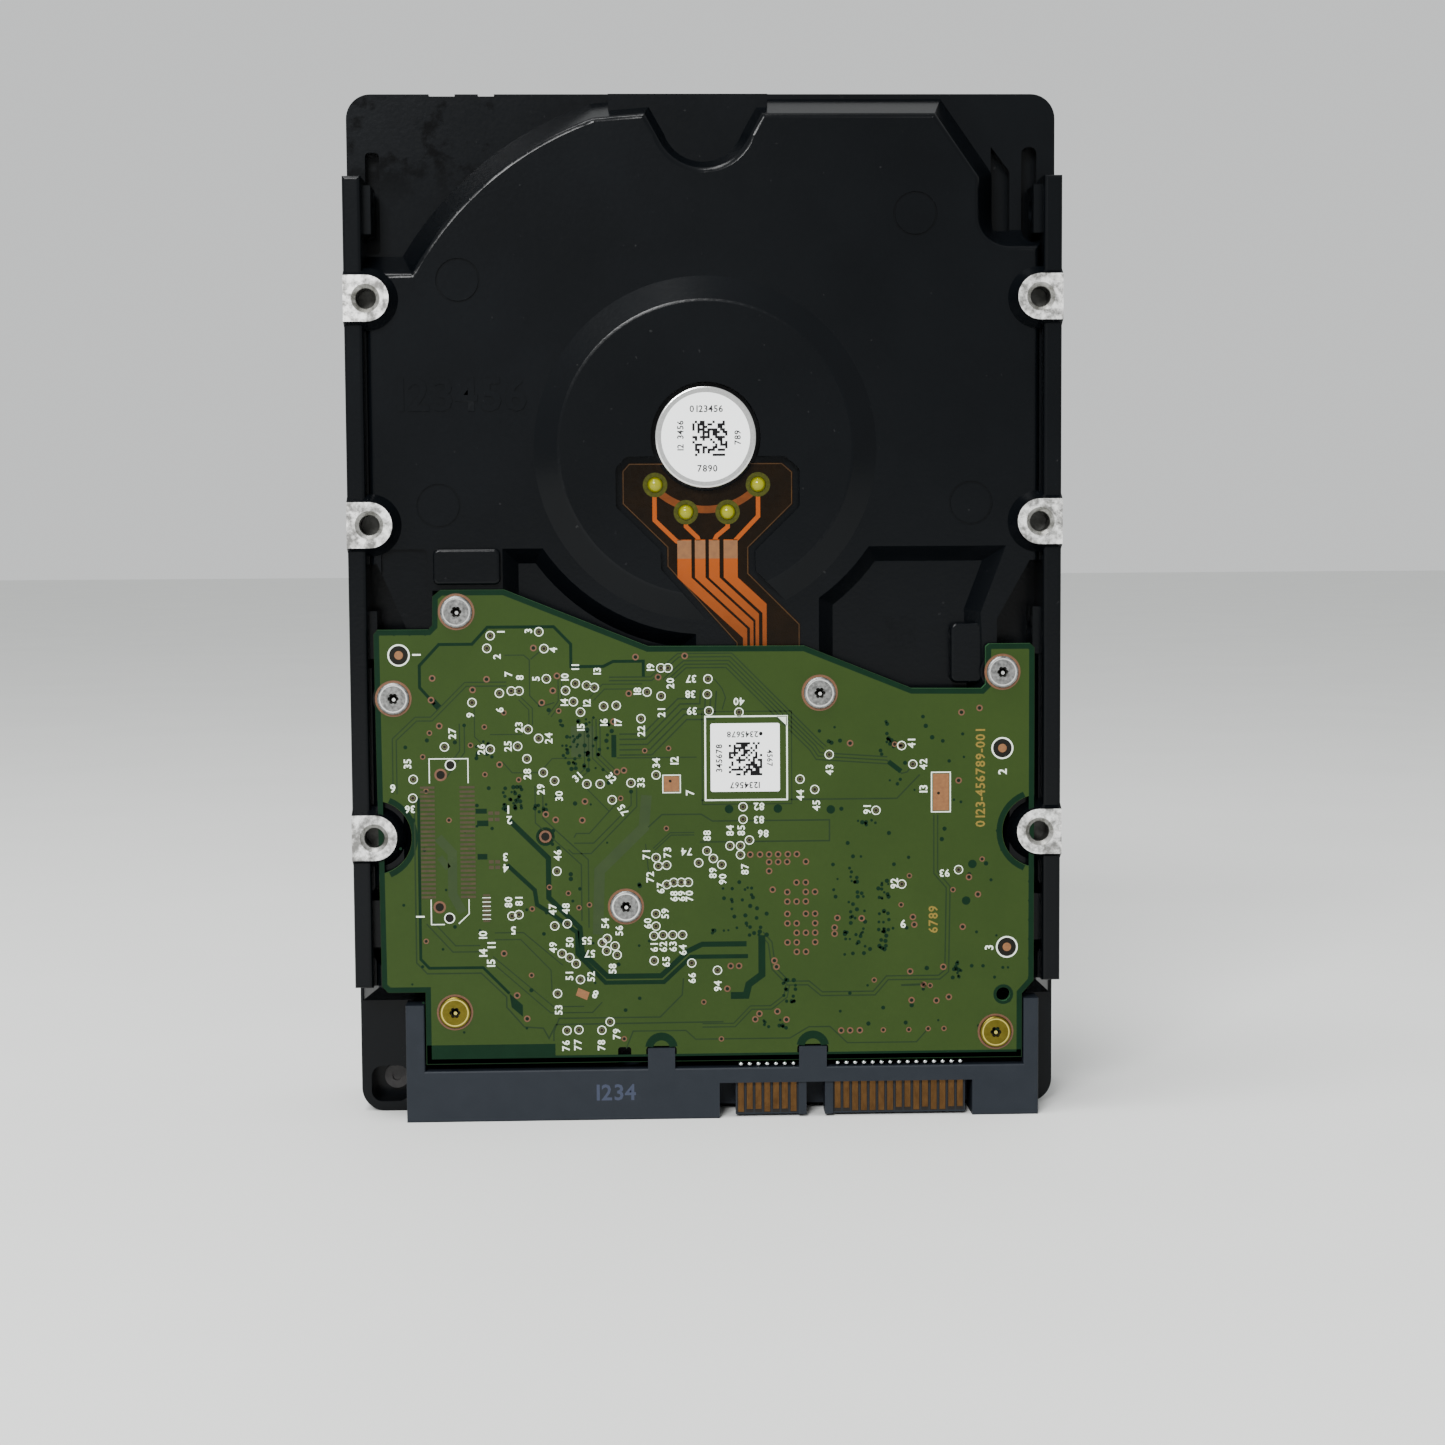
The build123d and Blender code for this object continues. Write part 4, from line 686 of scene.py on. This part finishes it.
tin_pad.vary("Roughness", 0.28 + tin_pad.grain(0.3, 3.0) * 0.2)
pads = Artwork()
silk = Artwork()
solder_pads = Artwork()
for number, (x, z, turn, aside, above) in enumerate(test_points, start=1):
    silk.ring((x, z), 0.66, 0.53, sides=20)
    pads.ring((x, z), 0.36, 0.2, sides=12)
    holes.disc((x, z), 0.2, sides=8)
    silk.number(str(number), (x + aside, z + above), 1.05, turn)
for x, z in ((-43.8, 67.3), (42.3, 53.3), (43.0, 24.5)):
    silk.ring((x, z), 1.58, 1.36, sides=32)
    holes.ring((x, z), 1.36, 0.62, sides=32)
    solder_pads.disc((x, z), 0.62, sides=20)
silk.number("1", (-41.3, 67.2), 1.2, 90)
silk.number("2", (42.3, 49.9), 1.2, 90)
silk.number("3", (40.4, 24.4), 1.2, 90)

# Pads of the parts on the hidden side, the cable connector's two rows, and their printed frames.
gold_row = Finish("gilded_pad", srgb(70, 60, 24), 0.4, metallic=0.3)
gold_row.tint(gold_row.grain(0.9, 3.0), srgb(30, 26, 8), srgb(62, 50, 18))
row_pads = Artwork()
for k in range(26):
    height = 48.4 - 0.63 * k
    row_pads.bar(-41.05, -39.0, height - 0.17, height + 0.17)
    row_pads.bar(-35.45, -33.3, height - 0.17, height + 0.17)
for k in range(7):
    row_pads.bar(-32.3, -31.3, 32.7 - 0.62 * k, 33.0 - 0.62 * k)
for x in (-31.4, -30.5):
    for height in (44.4, 43.5, 37.4, 36.6):
        row_pads.bar(x, x + 0.7, height, height + 0.5)
row_pads.lay("cable_row_pads", layer(10), gold_row, "gold_contact")
silk.ribbon([(-39.7, 49.0), (-39.7, 52.5), (-34.2, 52.5), (-34.2, 49.0)], 0.14)
silk.ribbon([(-39.7, 32.3), (-39.7, 28.7), (-37.8, 28.7)], 0.14)
silk.ribbon([(-35.8, 28.8), (-34.3, 30.2), (-34.3, 32.3)], 0.14)
for place in ((-37.1, 29.6), (-36.7, 51.6)):
    silk.ring(place, 0.78, 0.62, sides=20)
    holes.disc(place, 0.62, sides=16)
for place in ((-38.5, 31.2), (-38.1, 50.2), (-23.3, 41.2)):
    rings.ring(place, 0.9, 0.6, sides=18)
    holes.disc(place, 0.6, sides=16)
silk.number("1", (-41.3, 29.7), 1.2, 90)
for number, (x, z, turn) in enumerate(((-28.4, 45.1, 180), (-28.4, 43.6, 180), (-29.0, 38.3, 180),
                                       (-29.0, 36.7, 180), (-28.0, 27.7, 180), (-44.9, 48.3, 180),
                                       (-2.6, 47.3, 90), (-16.4, 18.3, 160), (28.0, 28.0, 180),
                                       (-32.4, 27.0, 90), (-31.2, 25.5, 90), (-4.8, 51.8, 90),
                                       (30.9, 47.4, 90), (-32.4, 24.4, 90), (-31.3, 22.9, 90)), start=1):
    silk.number(str(number), (x, z), 1.15, turn)
for k in range(6):
    silk.bar(-32.4, -31.2, 32.45 - 0.62 * k, 32.55 - 0.62 * k)

solder_pads.bar(-6.3, -4.1, 47.5, 49.7)
solder_pads.bar(32.3, 34.6, 44.4, 49.7)
solder_pads.shape([(-19.2, 18.2), (-17.6, 17.5), (-17.2, 18.6), (-18.8, 19.3)])
solder_pads.lay("bare_pads", layer(10), bare_copper, "gold_contact")
silk.frame(-6.45, -3.95, 47.35, 49.85, 0.14)
silk.frame(32.1, 34.8, 44.2, 49.9, 0.16)
silk.frame(-0.35, 11.35, 46.2, 58.2, 0.22)
silk.shape([(9.9, 58.2), (11.35, 56.8), (11.35, 58.2)])
holes.disc((33.1, 46.9), 0.22, sides=8)
holes.disc((-5.4, 49.0), 0.22, sides=8)
rings.lay("bare_rings", layer(9), ring_copper, "gold_contact")
holes.lay("drilled_holes", layer(11), hole_dark, "board_laminate")
pads.lay("test_pads", layer(11), tin_pad, "solder")
silk.lay("white_print", layer(13), silk_white, "board_laminate")

faint_print = Finish("tan_print", srgb(112, 96, 34), 0.5, Specular_IOR_Level=0.2)
faint_print.tint(faint_print.grain(0.5, 3.0), srgb(90, 84, 28), srgb(130, 104, 42))
tan = Artwork()
tan.number("0123-456789-001", (39.1, 49.0), 1.35, 90)
tan.number("6789", (32.3, 28.6), 1.3, 90)
tan.lay("tan_print", layer(5), faint_print, "board_laminate")

# Copper lands show as thin rings round the seven screw heads.
lands = Artwork()
screw_places = ((-35.57, 73.42), (-44.65, 61.14), (16.06, 61.48), (42.29, 64.26), (-11.88, 31.0))
gilt_places = ((-36.52, 15.96), (41.38, 12.17))
for place in screw_places:
    lands.ring(place, 2.4, 2.2, sides=40)
lands.lay("screw_lands", layer(12), bare_copper, "gold_contact")
land_edges = Artwork()
for place in screw_places + gilt_places:
    land_edges.ring(place, 2.6, 2.4 if place in screw_places else 2.2, sides=40)
land_edges.lay("land_edges", layer(12), ring_copper, "gold_contact")
gilt = Finish("yellow_zinc_plate", (0.16, 0.13, 0.02, 1), 0.28, metallic=1.0)
swirl = gilt.grain(0.6, 4.0, 0.6)
gilt.drift(swirl, (0.07, 0.055, 0.006, 1), (0.16, 0.13, 0.02, 1), 0.22, 0.2)
gilt.coat("connector_screws")


# Each screw head gets painted highlights, a bright ring at its rim and a glint low in its star socket, and
# a painted dark star for the shade in that socket.
head_face = 0.1
socket_radius = 0.5


def head_marks(name, places, finish, slot):
    """Painted highlights: a bright ring just inside the edge of each head, and a glint low in each socket.
    """
    bright = Artwork()
    for x, z in places:
        bright.ring((x, z), 1.98, 1.8, sides=40)
    bright.lay(f"{name}_rim_highlights", head_face - 0.004, finish, slot)
    glint = Artwork()
    for x, z in places:
        glint.disc((x + 0.06, z - 0.14), 0.26, sides=10)
    glint.lay(f"{name}_glints", layer(15), finish, slot)


bright_steel = Finish("painted_rim_highlight", (0.62, 0.62, 0.61, 1), 0.2, metallic=1.0)
bright_steel.vary("Roughness", 0.16 + bright_steel.grain(0.4, 3.0) * 0.1)
bright_gilt = Finish("painted_yellow_rim_highlight", (0.5, 0.42, 0.1, 1), 0.2, metallic=1.0)
bright_gilt.vary("Roughness", 0.16 + bright_gilt.grain(0.4, 3.0) * 0.1)
head_marks("steel_screw", screw_places, bright_steel, "bright_steel")
head_marks("yellow_screw", gilt_places, bright_gilt, "yellow_zinc")
# Painted shade: a dark star laid in each screw socket.
socket_shade = Artwork()
for x, z in screw_places + gilt_places:
    socket_shade.disc((x, z), socket_radius, sides=12)
    for turn in np.radians(np.arange(0, 360, 60)):
        lobe = (x + socket_radius * math.cos(turn), z + socket_radius * math.sin(turn))
        socket_shade.disc(lobe, 0.29, sides=10)
socket_shade.lay("painted_socket_shade", layer(6), hole_dark, "bright_steel")

# A white label with a scrambled square and plain numerals.
label_face = board_face - 0.06
label_marks = Artwork()
label_marks.speckled_square(3.0, 49.7, 4.8, 14, 7)
label_marks.number("1234567", (5.4, 48.3), 0.9, 180)
label_marks.number("2345678", (5.0, 55.6), 0.85, 180)
label_marks.number("345678", (1.6, 52.2), 0.9, 90)
label_marks.number("4567", (8.9, 52.2), 0.8, -90)
label_marks.disc((7.6, 55.7), 0.28)
label_marks.lay("board_label_print", label_face - 0.004, ink, "label_paper")


# ================================================================ serial-ATA connector
# The connector is one glass-filled nylon moulding, slate blue, with a matt skin from the tool.
# Its 22 contacts are phosphor bronze under thin gold, each bent down to a tinned tail.
nylon = Finish("slate_nylon", srgb(34, 40, 47), 0.52, Specular_IOR_Level=0.2)
mottle = nylon.grain(3.2, 5.0, 0.62)
pit = nylon.grain(0.35, 2.0)
nylon.tint(mottle, srgb(16, 21, 28), srgb(26, 31, 38))
nylon.vary("Roughness", 0.44 + pit * 0.16)
nylon.relief(pit + mottle * 0.5, 0.16, 0.04)
nylon.coat("connector_housing")

gold = Finish("gold_plate", (0.30, 0.17, 0.065, 1), 0.38, metallic=0.9)
worn = gold.grain(0.7, 4.0, 0.6, stretch=(1.0, 1.0, 0.4))
gold.drift(worn, (0.030, 0.013, 0.004, 1), (0.135, 0.068, 0.022, 1), 0.28, 0.2)
gold.coat("connector_contacts")

tin = Finish("bright_tin", (0.62, 0.63, 0.64, 1), 0.22, metallic=1.0)
crystals = tin.grain(0.3, 3.0)
tin.drift(crystals, (0.5, 0.51, 0.52, 1), (0.74, 0.75, 0.76, 1), 0.16, 0.16)
tin.coat("connector_tails")

housing_face = 0.4
tongue_face = 1.3
blue_ink = Finish("blue_ink", srgb(26, 36, 58), 0.5)
blue_ink.vary("Roughness", 0.44 + blue_ink.grain(0.4, 2.0) * 0.16)
stamp = Artwork()
stamp.number("1234", (-13.8, 4.1), 2.3)
stamp.lay("connector_date", housing_face - 0.01, blue_ink, "connector_plastic")

# Each contact lies in a groove of its tongue. A dark bar painted under each contact is painted shade for
# its groove, so its sides show as dark lines.
groove_shade_finish = Finish("painted_groove_shade", srgb(18, 16, 15), 0.6, Specular_IOR_Level=0.2)
groove_shade_finish.vary("Roughness", 0.5 + groove_shade_finish.grain(0.3, 2.0) * 0.2)
groove_shade_bars = Artwork()
for k in range(22):
    x = 4.5 + 1.27 * k if k < 7 else 18.51 + 1.27 * (k - 7)
    groove_shade_bars.bar(x - 0.56, x + 0.56, 0.62, 5.2)
groove_shade_bars.lay("painted_groove_shadows", tongue_face - 0.004, groove_shade_finish, "connector_plastic")


# ================================================================ spindle motor seen in the floor
# The motor's polished steel end cap closes the bearing. A round white label is stuck on it.
# A folded circuit of amber film over copper brings the motor's four leads out to the board.
polished = Finish("polished_cap", (0.72, 0.72, 0.71, 1), 0.16, metallic=1.0)
swirl = polished.grain(0.25, 4.0, 0.6)
polished.drift(swirl, (0.6, 0.6, 0.59, 1), (0.82, 0.82, 0.81, 1), 0.12, 0.14)
polished.coat("motor_end_cap")

spindle = (0.0, 97.9)
cap_label_face = 0.3
flex_face = 2.0
cap_marks = Artwork()
cap_marks.speckled_square(-1.9, 95.2, 5.0, 14, 9)
cap_marks.number("0123456", (0.1, 101.9), 0.95)
cap_marks.number("7890", (0.2, 93.5), 0.95)
cap_marks.number("12 3456", (-3.6, 98.0), 0.9, 90)
cap_marks.number("789", (4.5, 97.8), 0.9, 90)
cap_marks.lay("motor_label_print", cap_label_face - 0.004, ink, "label_paper")

amber = Finish("amber_film", srgb(12, 6, 1), 0.22, Specular_IOR_Level=0.1)
ripple = amber.grain(3.0, 3.0)
amber.tint(ripple, srgb(6, 3, 0), srgb(22, 11, 1))
amber.vary("Roughness", 0.2 + amber.grain(0.6, 2.0) * 0.16)
amber.relief(ripple, 0.2, 0.05)
amber.coat("motor_flex")

film_edge = Finish("film_edge", srgb(64, 38, 8), 0.35, Specular_IOR_Level=0.2)
film_edge.tint(film_edge.grain(2.0, 3.0), srgb(24, 13, 2), srgb(80, 50, 12))
rim = Artwork()
rim.ribbon([(-11.9, 93.2), (-10.9, 94.3), (10.9, 94.3), (12.4, 93.0), (12.4, 88.4), (6.1, 82.2),
            (6.1, 78.6), (13.4, 71.3), (13.4, 63.0), (4.2, 63.0), (4.2, 68.6), (-5.6, 79.6),
            (-5.6, 82.3), (-11.9, 88.5)], 0.12, shift=-0.16, closed=True)
rim.lay("flex_film_edge", flex_face - 0.006, film_edge, "flex_film")

flex_copper = Finish("copper_under_film", srgb(190, 104, 10), 0.3, Specular_IOR_Level=0.2)
x, y, z = flex_copper.axes()
shade = flex_copper.step(z, 66.0, 84.0)
pile = flex_copper.grain(1.4, 3.0)
lead_tone = flex_copper.blend(shade, srgb(84, 38, 0), srgb(140, 62, 0))
flex_copper.tint(pile * 0.5, lead_tone, srgb(130, 58, 0))
flex_copper.vary("Roughness", 0.24 + pile * 0.16)
tracks = Artwork()
for left, left_foot, right, right_foot in ((-4.1, 5.2, -2.1, 5.8), (-1.6, 6.2, -0.1, 6.7),
                                           (0.4, 7.0, 1.9, 7.5), (2.5, 8.0, 4.5, 8.6)):
    sides = []
    for neck, foot in ((left, left_foot), (right, right_foot)):
        sides.append([(neck, 83.4), (neck, 78.0), (foot, 78.0 - 0.93 * (foot - neck)), (foot, 68.0)])
    tracks.patch(sides[0] + sides[1], [(k, k + 4, k + 5, k + 1)[::-1] for k in range(3)])
for path in ([(-7.3, 90.6), (-7.3, 86.2), (-4.2, 83.2), (-3.4, 83.0)],
             [(-2.85, 87.0), (-2.85, 85.3), (-1.2, 83.7), (-1.0, 83.0)],
             [(3.1, 87.0), (3.1, 85.2), (1.5, 83.9), (1.1, 83.0)],
             [(7.45, 90.6), (7.45, 86.7), (4.3, 83.4), (4.0, 83.0)]):
    tracks.ribbon(path, 0.62)
tracks.lay("flex_leads", flex_face - 0.01, flex_copper, "flex_film")

deep_copper = Finish("copper_under_two_films", srgb(112, 58, 8), 0.3, Specular_IOR_Level=0.2)
deep_copper.tint(deep_copper.grain(1.2, 3.0), srgb(66, 30, 2), srgb(104, 50, 4))
crossing = Artwork()
crossing.ring(spindle, 10.75, 9.7, sides=40, start=224.0, sweep=92.0)
crossing.lay("flex_crossing", flex_face - 0.004, deep_copper, "flex_film")

tan_pad = Finish("plated_neck", srgb(158, 116, 72), 0.42)
tan_pad.tint(tan_pad.grain(0.8, 4.0), srgb(86, 50, 14), srgb(122, 76, 28))
neck = Artwork()
for x0, x1 in ((-4.1, -2.1), (-1.6, -0.1), (0.4, 1.9), (2.5, 4.5)):
    neck.bar(x0, x1, 80.7, 83.3)
neck.lay("flex_neck_pads", flex_face - 0.015, tan_pad, "flex_film")

# Each lead is soldered through the floor, then sealed with a drop of clear yellow-green resin.
resin = Finish("resin_drop", srgb(176, 178, 30), 0.12, Specular_IOR_Level=0.3, Coat_Weight=0.12)
x, y, z = resin.axes()
# Painted highlight: the drop is painted lighter towards its top.
height = resin.step(y * -1.0, 11.05, 11.75)
resin.tint(height, srgb(46, 50, 0), srgb(128, 128, 0))
resin.vary("Roughness", 0.1 + resin.grain(0.5, 2.0) * 0.08)
resin.coat("motor_solder_joints")
wetted = Finish("resin_skirt", srgb(46, 46, 4), 0.14, Specular_IOR_Level=0.3)
wetted.tint(wetted.grain(0.5, 3.0), srgb(28, 30, 2), srgb(70, 72, 8))
skirts = Artwork()
for place in ((-7.2, 91.2), (-2.85, 87.3), (3.1, 87.3), (7.45, 91.2)):
    skirts.ring(place, 1.75, 1.1, sides=28)
skirts.lay("resin_skirts", flex_face - 0.018, wetted, "domed_sealant")


# ================================================================ parts under the board
# Black epoxy packages, tan ceramic capacitors and resistors, and a black film that keeps them off the
# casting. Below them the feed-through brings the heads' signals out of the sealed chamber.
epoxy = Finish("moulded_epoxy", (0.014, 0.014, 0.016, 1), 0.5)
frost = epoxy.grain(0.4, 4.0)
epoxy.drift(frost, (0.010, 0.010, 0.012, 1), (0.024, 0.024, 0.026, 1), 0.44, 0.18)
epoxy.relief(frost, 0.12, 0.02)
epoxy.coat("controller_chip", "memory_chip", "motor_driver_chip")

ceramic = Finish("tan_ceramic", (0.3, 0.22, 0.14, 1), 0.5)
grit = ceramic.grain(0.4, 4.0)
ceramic.drift(grit, (0.22, 0.155, 0.095, 1), (0.38, 0.29, 0.19, 1), 0.4, 0.2)
ceramic.coat("small_components")

black_plastic = Finish("black_moulding", (0.016, 0.016, 0.018, 1), 0.48)
stipple = black_plastic.grain(0.5, 3.0)
black_plastic.drift(stipple, (0.012, 0.012, 0.013, 1), (0.026, 0.026, 0.028, 1), 0.42, 0.16)
black_plastic.relief(stipple, 0.12, 0.03)
black_plastic.coat("feedthrough_connector", "flex_bracket", "board_insulator")


# ================================================================ arm ribbon
# The heads' signals leave the arm on a ribbon of amber film that stands on edge in one slack bow.
# Its bracket end is held on the casting and its other end on the arm hub; this mesh is one fixed bow.
bow = np.array([(-32.9, 36.0), (-9.0, 27.5), (11.2, 38.6)])
square = (bow ** 2).sum(1)
bow_centre = np.linalg.solve(2 * (bow[1:] - bow[0]), square[1:] - square[0])  # equally far from the three
bow_radius = np.linalg.norm(bow[0] - bow_centre)
first, last = (math.atan2(*(bow[k] - bow_centre)[::-1]) % (2 * math.pi) for k in (0, 2))
turn = np.linspace(first, last, 61)
curve = bow_centre + bow_radius * np.stack([np.cos(turn), np.sin(turn)], 1)
levels = np.linspace(12.0, 19.5, 5)
points = [(x * MM, (level - 13.05) * MM, z * MM) for level in levels for x, z in curve]
faces = [(61 * row + k, 61 * row + k + 1, 61 * row + k + 62, 61 * row + k + 61)
         for row in range(4) for k in range(60)]
ribbon_mesh = bpy.data.meshes.new("arm_ribbon")
ribbon_mesh.from_pydata(points, [], faces)
ribbon_mesh.materials.append(amber.material)
ribbon = bpy.data.objects.new("arm_ribbon", ribbon_mesh)
bpy.context.scene.collection.objects.link(ribbon)
wall = ribbon.modifiers.new("film", "SOLIDIFY")
wall.thickness = 0.16 * MM
wall.offset = 0.0
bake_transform(ribbon)
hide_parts("arm_flex")


# ================================================================ disks, spindle and head arm
# The sealed works: eight mirror disks on a turned hub, the wound stator and magnet below them, and the
# comb of arms with its coil, bearing, suspensions and sliders.
mirror = Finish("polished_disk", (0.72, 0.72, 0.74, 1), 0.04, metallic=1.0)
haze = mirror.grain(20.0, 3.0)
mirror.drift(haze, (0.68, 0.68, 0.70, 1), (0.76, 0.76, 0.78, 1), 0.03, 0.03)
mirror.coat(*[f"platter_{k}" for k in range(1, 9)])

turned = Finish("turned_aluminium", (0.66, 0.665, 0.67, 1), 0.3, metallic=1.0)
lathe = turned.grain(0.25, 3.0, 0.6)
turned.drift(lathe, (0.58, 0.585, 0.59, 1), (0.74, 0.745, 0.75, 1), 0.24, 0.14)
turned.coat("spindle_hub", "platter_spacers", "disk_clamp", "actuator_arms")

ground = Finish("ground_steel", (0.6, 0.6, 0.6, 1), 0.2, metallic=1.0)
fine_lines = ground.grain(0.2, 3.0)
ground.drift(fine_lines, (0.52, 0.52, 0.52, 1), (0.68, 0.68, 0.68, 1), 0.16, 0.12)
ground.coat("spindle_shaft", "pivot_shaft", "pivot_sleeve", "yoke_posts", "latch_pin")

plated = Finish("nickel_plate", (0.5, 0.48, 0.45, 1), 0.28, metallic=1.0)
cast_skin = plated.grain(0.8, 4.0)
plated.drift(cast_skin, (0.42, 0.40, 0.37, 1), (0.58, 0.56, 0.53, 1), 0.22, 0.16)
plated.coat("magnet_yokes", "voice_coil_magnets", "rotor_magnet")

lamination = Finish("laminated_steel", (0.2, 0.2, 0.21, 1), 0.45, metallic=0.9)
x, y, z = lamination.axes()
sheets = y.math("PINGPONG", y, 0.18) * 5.0
lamination.drift(sheets, (0.14, 0.14, 0.15, 1), (0.27, 0.27, 0.28, 1), 0.38, 0.14)
lamination.coat("stator_core", "rotor_back_iron")

winding = Finish("enamelled_wire", (0.45, 0.16, 0.05, 1), 0.26, metallic=0.85)
x, y, z = winding.axes()
strands = y.math("PINGPONG", y, 0.11) * 9.0
winding.drift(strands, (0.26, 0.08, 0.025, 1), (0.62, 0.26, 0.09, 1), 0.22, 0.12)
winding.coat("stator_coils", "voice_coil")

bronze = Finish("sintered_bronze", (0.4, 0.26, 0.12, 1), 0.4, metallic=1.0)
pores = bronze.grain(0.3, 4.0)
bronze.drift(pores, (0.28, 0.18, 0.08, 1), (0.48, 0.33, 0.16, 1), 0.34, 0.18)
bronze.coat("bearing_sleeve")

spring = Finish("spring_steel", (0.46, 0.46, 0.45, 1), 0.26, metallic=1.0)
rolled = spring.grain(0.2, 3.0, stretch=(1.0, 1.0, 0.1))
spring.drift(rolled, (0.4, 0.4, 0.39, 1), (0.54, 0.54, 0.53, 1), 0.2, 0.14)
spring.coat("head_suspensions")

slider = Finish("slider_ceramic", (0.03, 0.03, 0.032, 1), 0.3)
slider.vary("Roughness", 0.24 + slider.grain(0.2, 2.0) * 0.12)
slider.coat("head_sliders")

natural = Finish("natural_moulding", (0.66, 0.62, 0.5, 1), 0.42)
flow = natural.grain(3.0, 4.0)
natural.drift(flow, (0.58, 0.54, 0.43, 1), (0.72, 0.68, 0.56, 1), 0.36, 0.14)
natural.coat("load_ramp", "latch_lever")

felt = Finish("white_felt", (0.76, 0.76, 0.74, 1), 0.9)
fluff = felt.grain(0.35, 5.0, 0.7)
felt.drift(fluff, (0.62, 0.62, 0.6, 1), (0.84, 0.84, 0.82, 1), 0.82, 0.14)
felt.relief(fluff, 0.5, 0.1)
felt.coat("recirculation_filter", "desiccant_pack")


# ================================================================ floor, light and camera
# A pale floor carries the drive in a bright even room, with a soft lamp high in front and one above.
floor_mesh = bpy.data.meshes.new("floor")
floor_mesh.from_pydata([(-4, -4, 0), (4, -4, 0), (4, 4, 0), (-4, 4, 0)], [], [(0, 1, 2, 3)])
floor = bpy.data.objects.new("floor", floor_mesh)
bpy.context.scene.collection.objects.link(floor)
floor_paint = Finish("pale_floor", srgb(226, 227, 225), 0.6)
floor_paint.tint(floor_paint.grain(60.0, 3.0), srgb(222, 223, 221), srgb(230, 231, 229))
floor_mesh.materials.append(floor_paint.material)

world = bpy.data.worlds.new("room")
world.use_nodes = True
world.node_tree.nodes["Background"].inputs["Color"].default_value = srgb(222, 224, 224)
world.node_tree.nodes["Background"].inputs["Strength"].default_value = 1.1
bpy.context.scene.world = world


def lamp(name, place, target, wide, tall, power):
    """Soft rectangular lamp that faces a target."""
    light = bpy.data.lights.new(name, "AREA")
    light.shape = "RECTANGLE"
    light.size = wide
    light.size_y = tall
    light.energy = power
    made = bpy.data.objects.new(name, light)
    made.location = place
    made.rotation_euler = (Vector(target) - Vector(place)).to_track_quat("-Z", "Y").to_euler()
    bpy.context.scene.collection.objects.link(made)


lamp("window_lamp", (-0.35, -1.1, 0.74), (0.0, 0.0, 0.08), wide=0.42, tall=0.3, power=24.0)
lamp("ceiling_lamp", (-0.15, -0.16, 0.8), (0.0, 0.0, 0.09), wide=0.3, tall=0.25, power=4.5)

# The camera looks at the board's face from 0.38 m. Its axes are right, up and back.
lens = bpy.data.cameras.new("camera")
lens.sensor_width = 36.0
lens.lens = 64.8
lens.clip_start = 0.01
camera = bpy.data.objects.new("camera", lens)
right = (0.99934, -0.03589, -0.00622)
up = (0.00892, 0.07565, 0.99709)
back = (-0.03532, -0.99649, 0.07592)
turned_camera = Matrix((right, up, back)).transposed().to_4x4()
camera.matrix_world = Matrix.Translation((-0.01098, -0.38265, 0.08554)) @ turned_camera
bpy.context.scene.collection.objects.link(camera)
bpy.context.scene.camera = camera

bpy.context.view_layer.update()
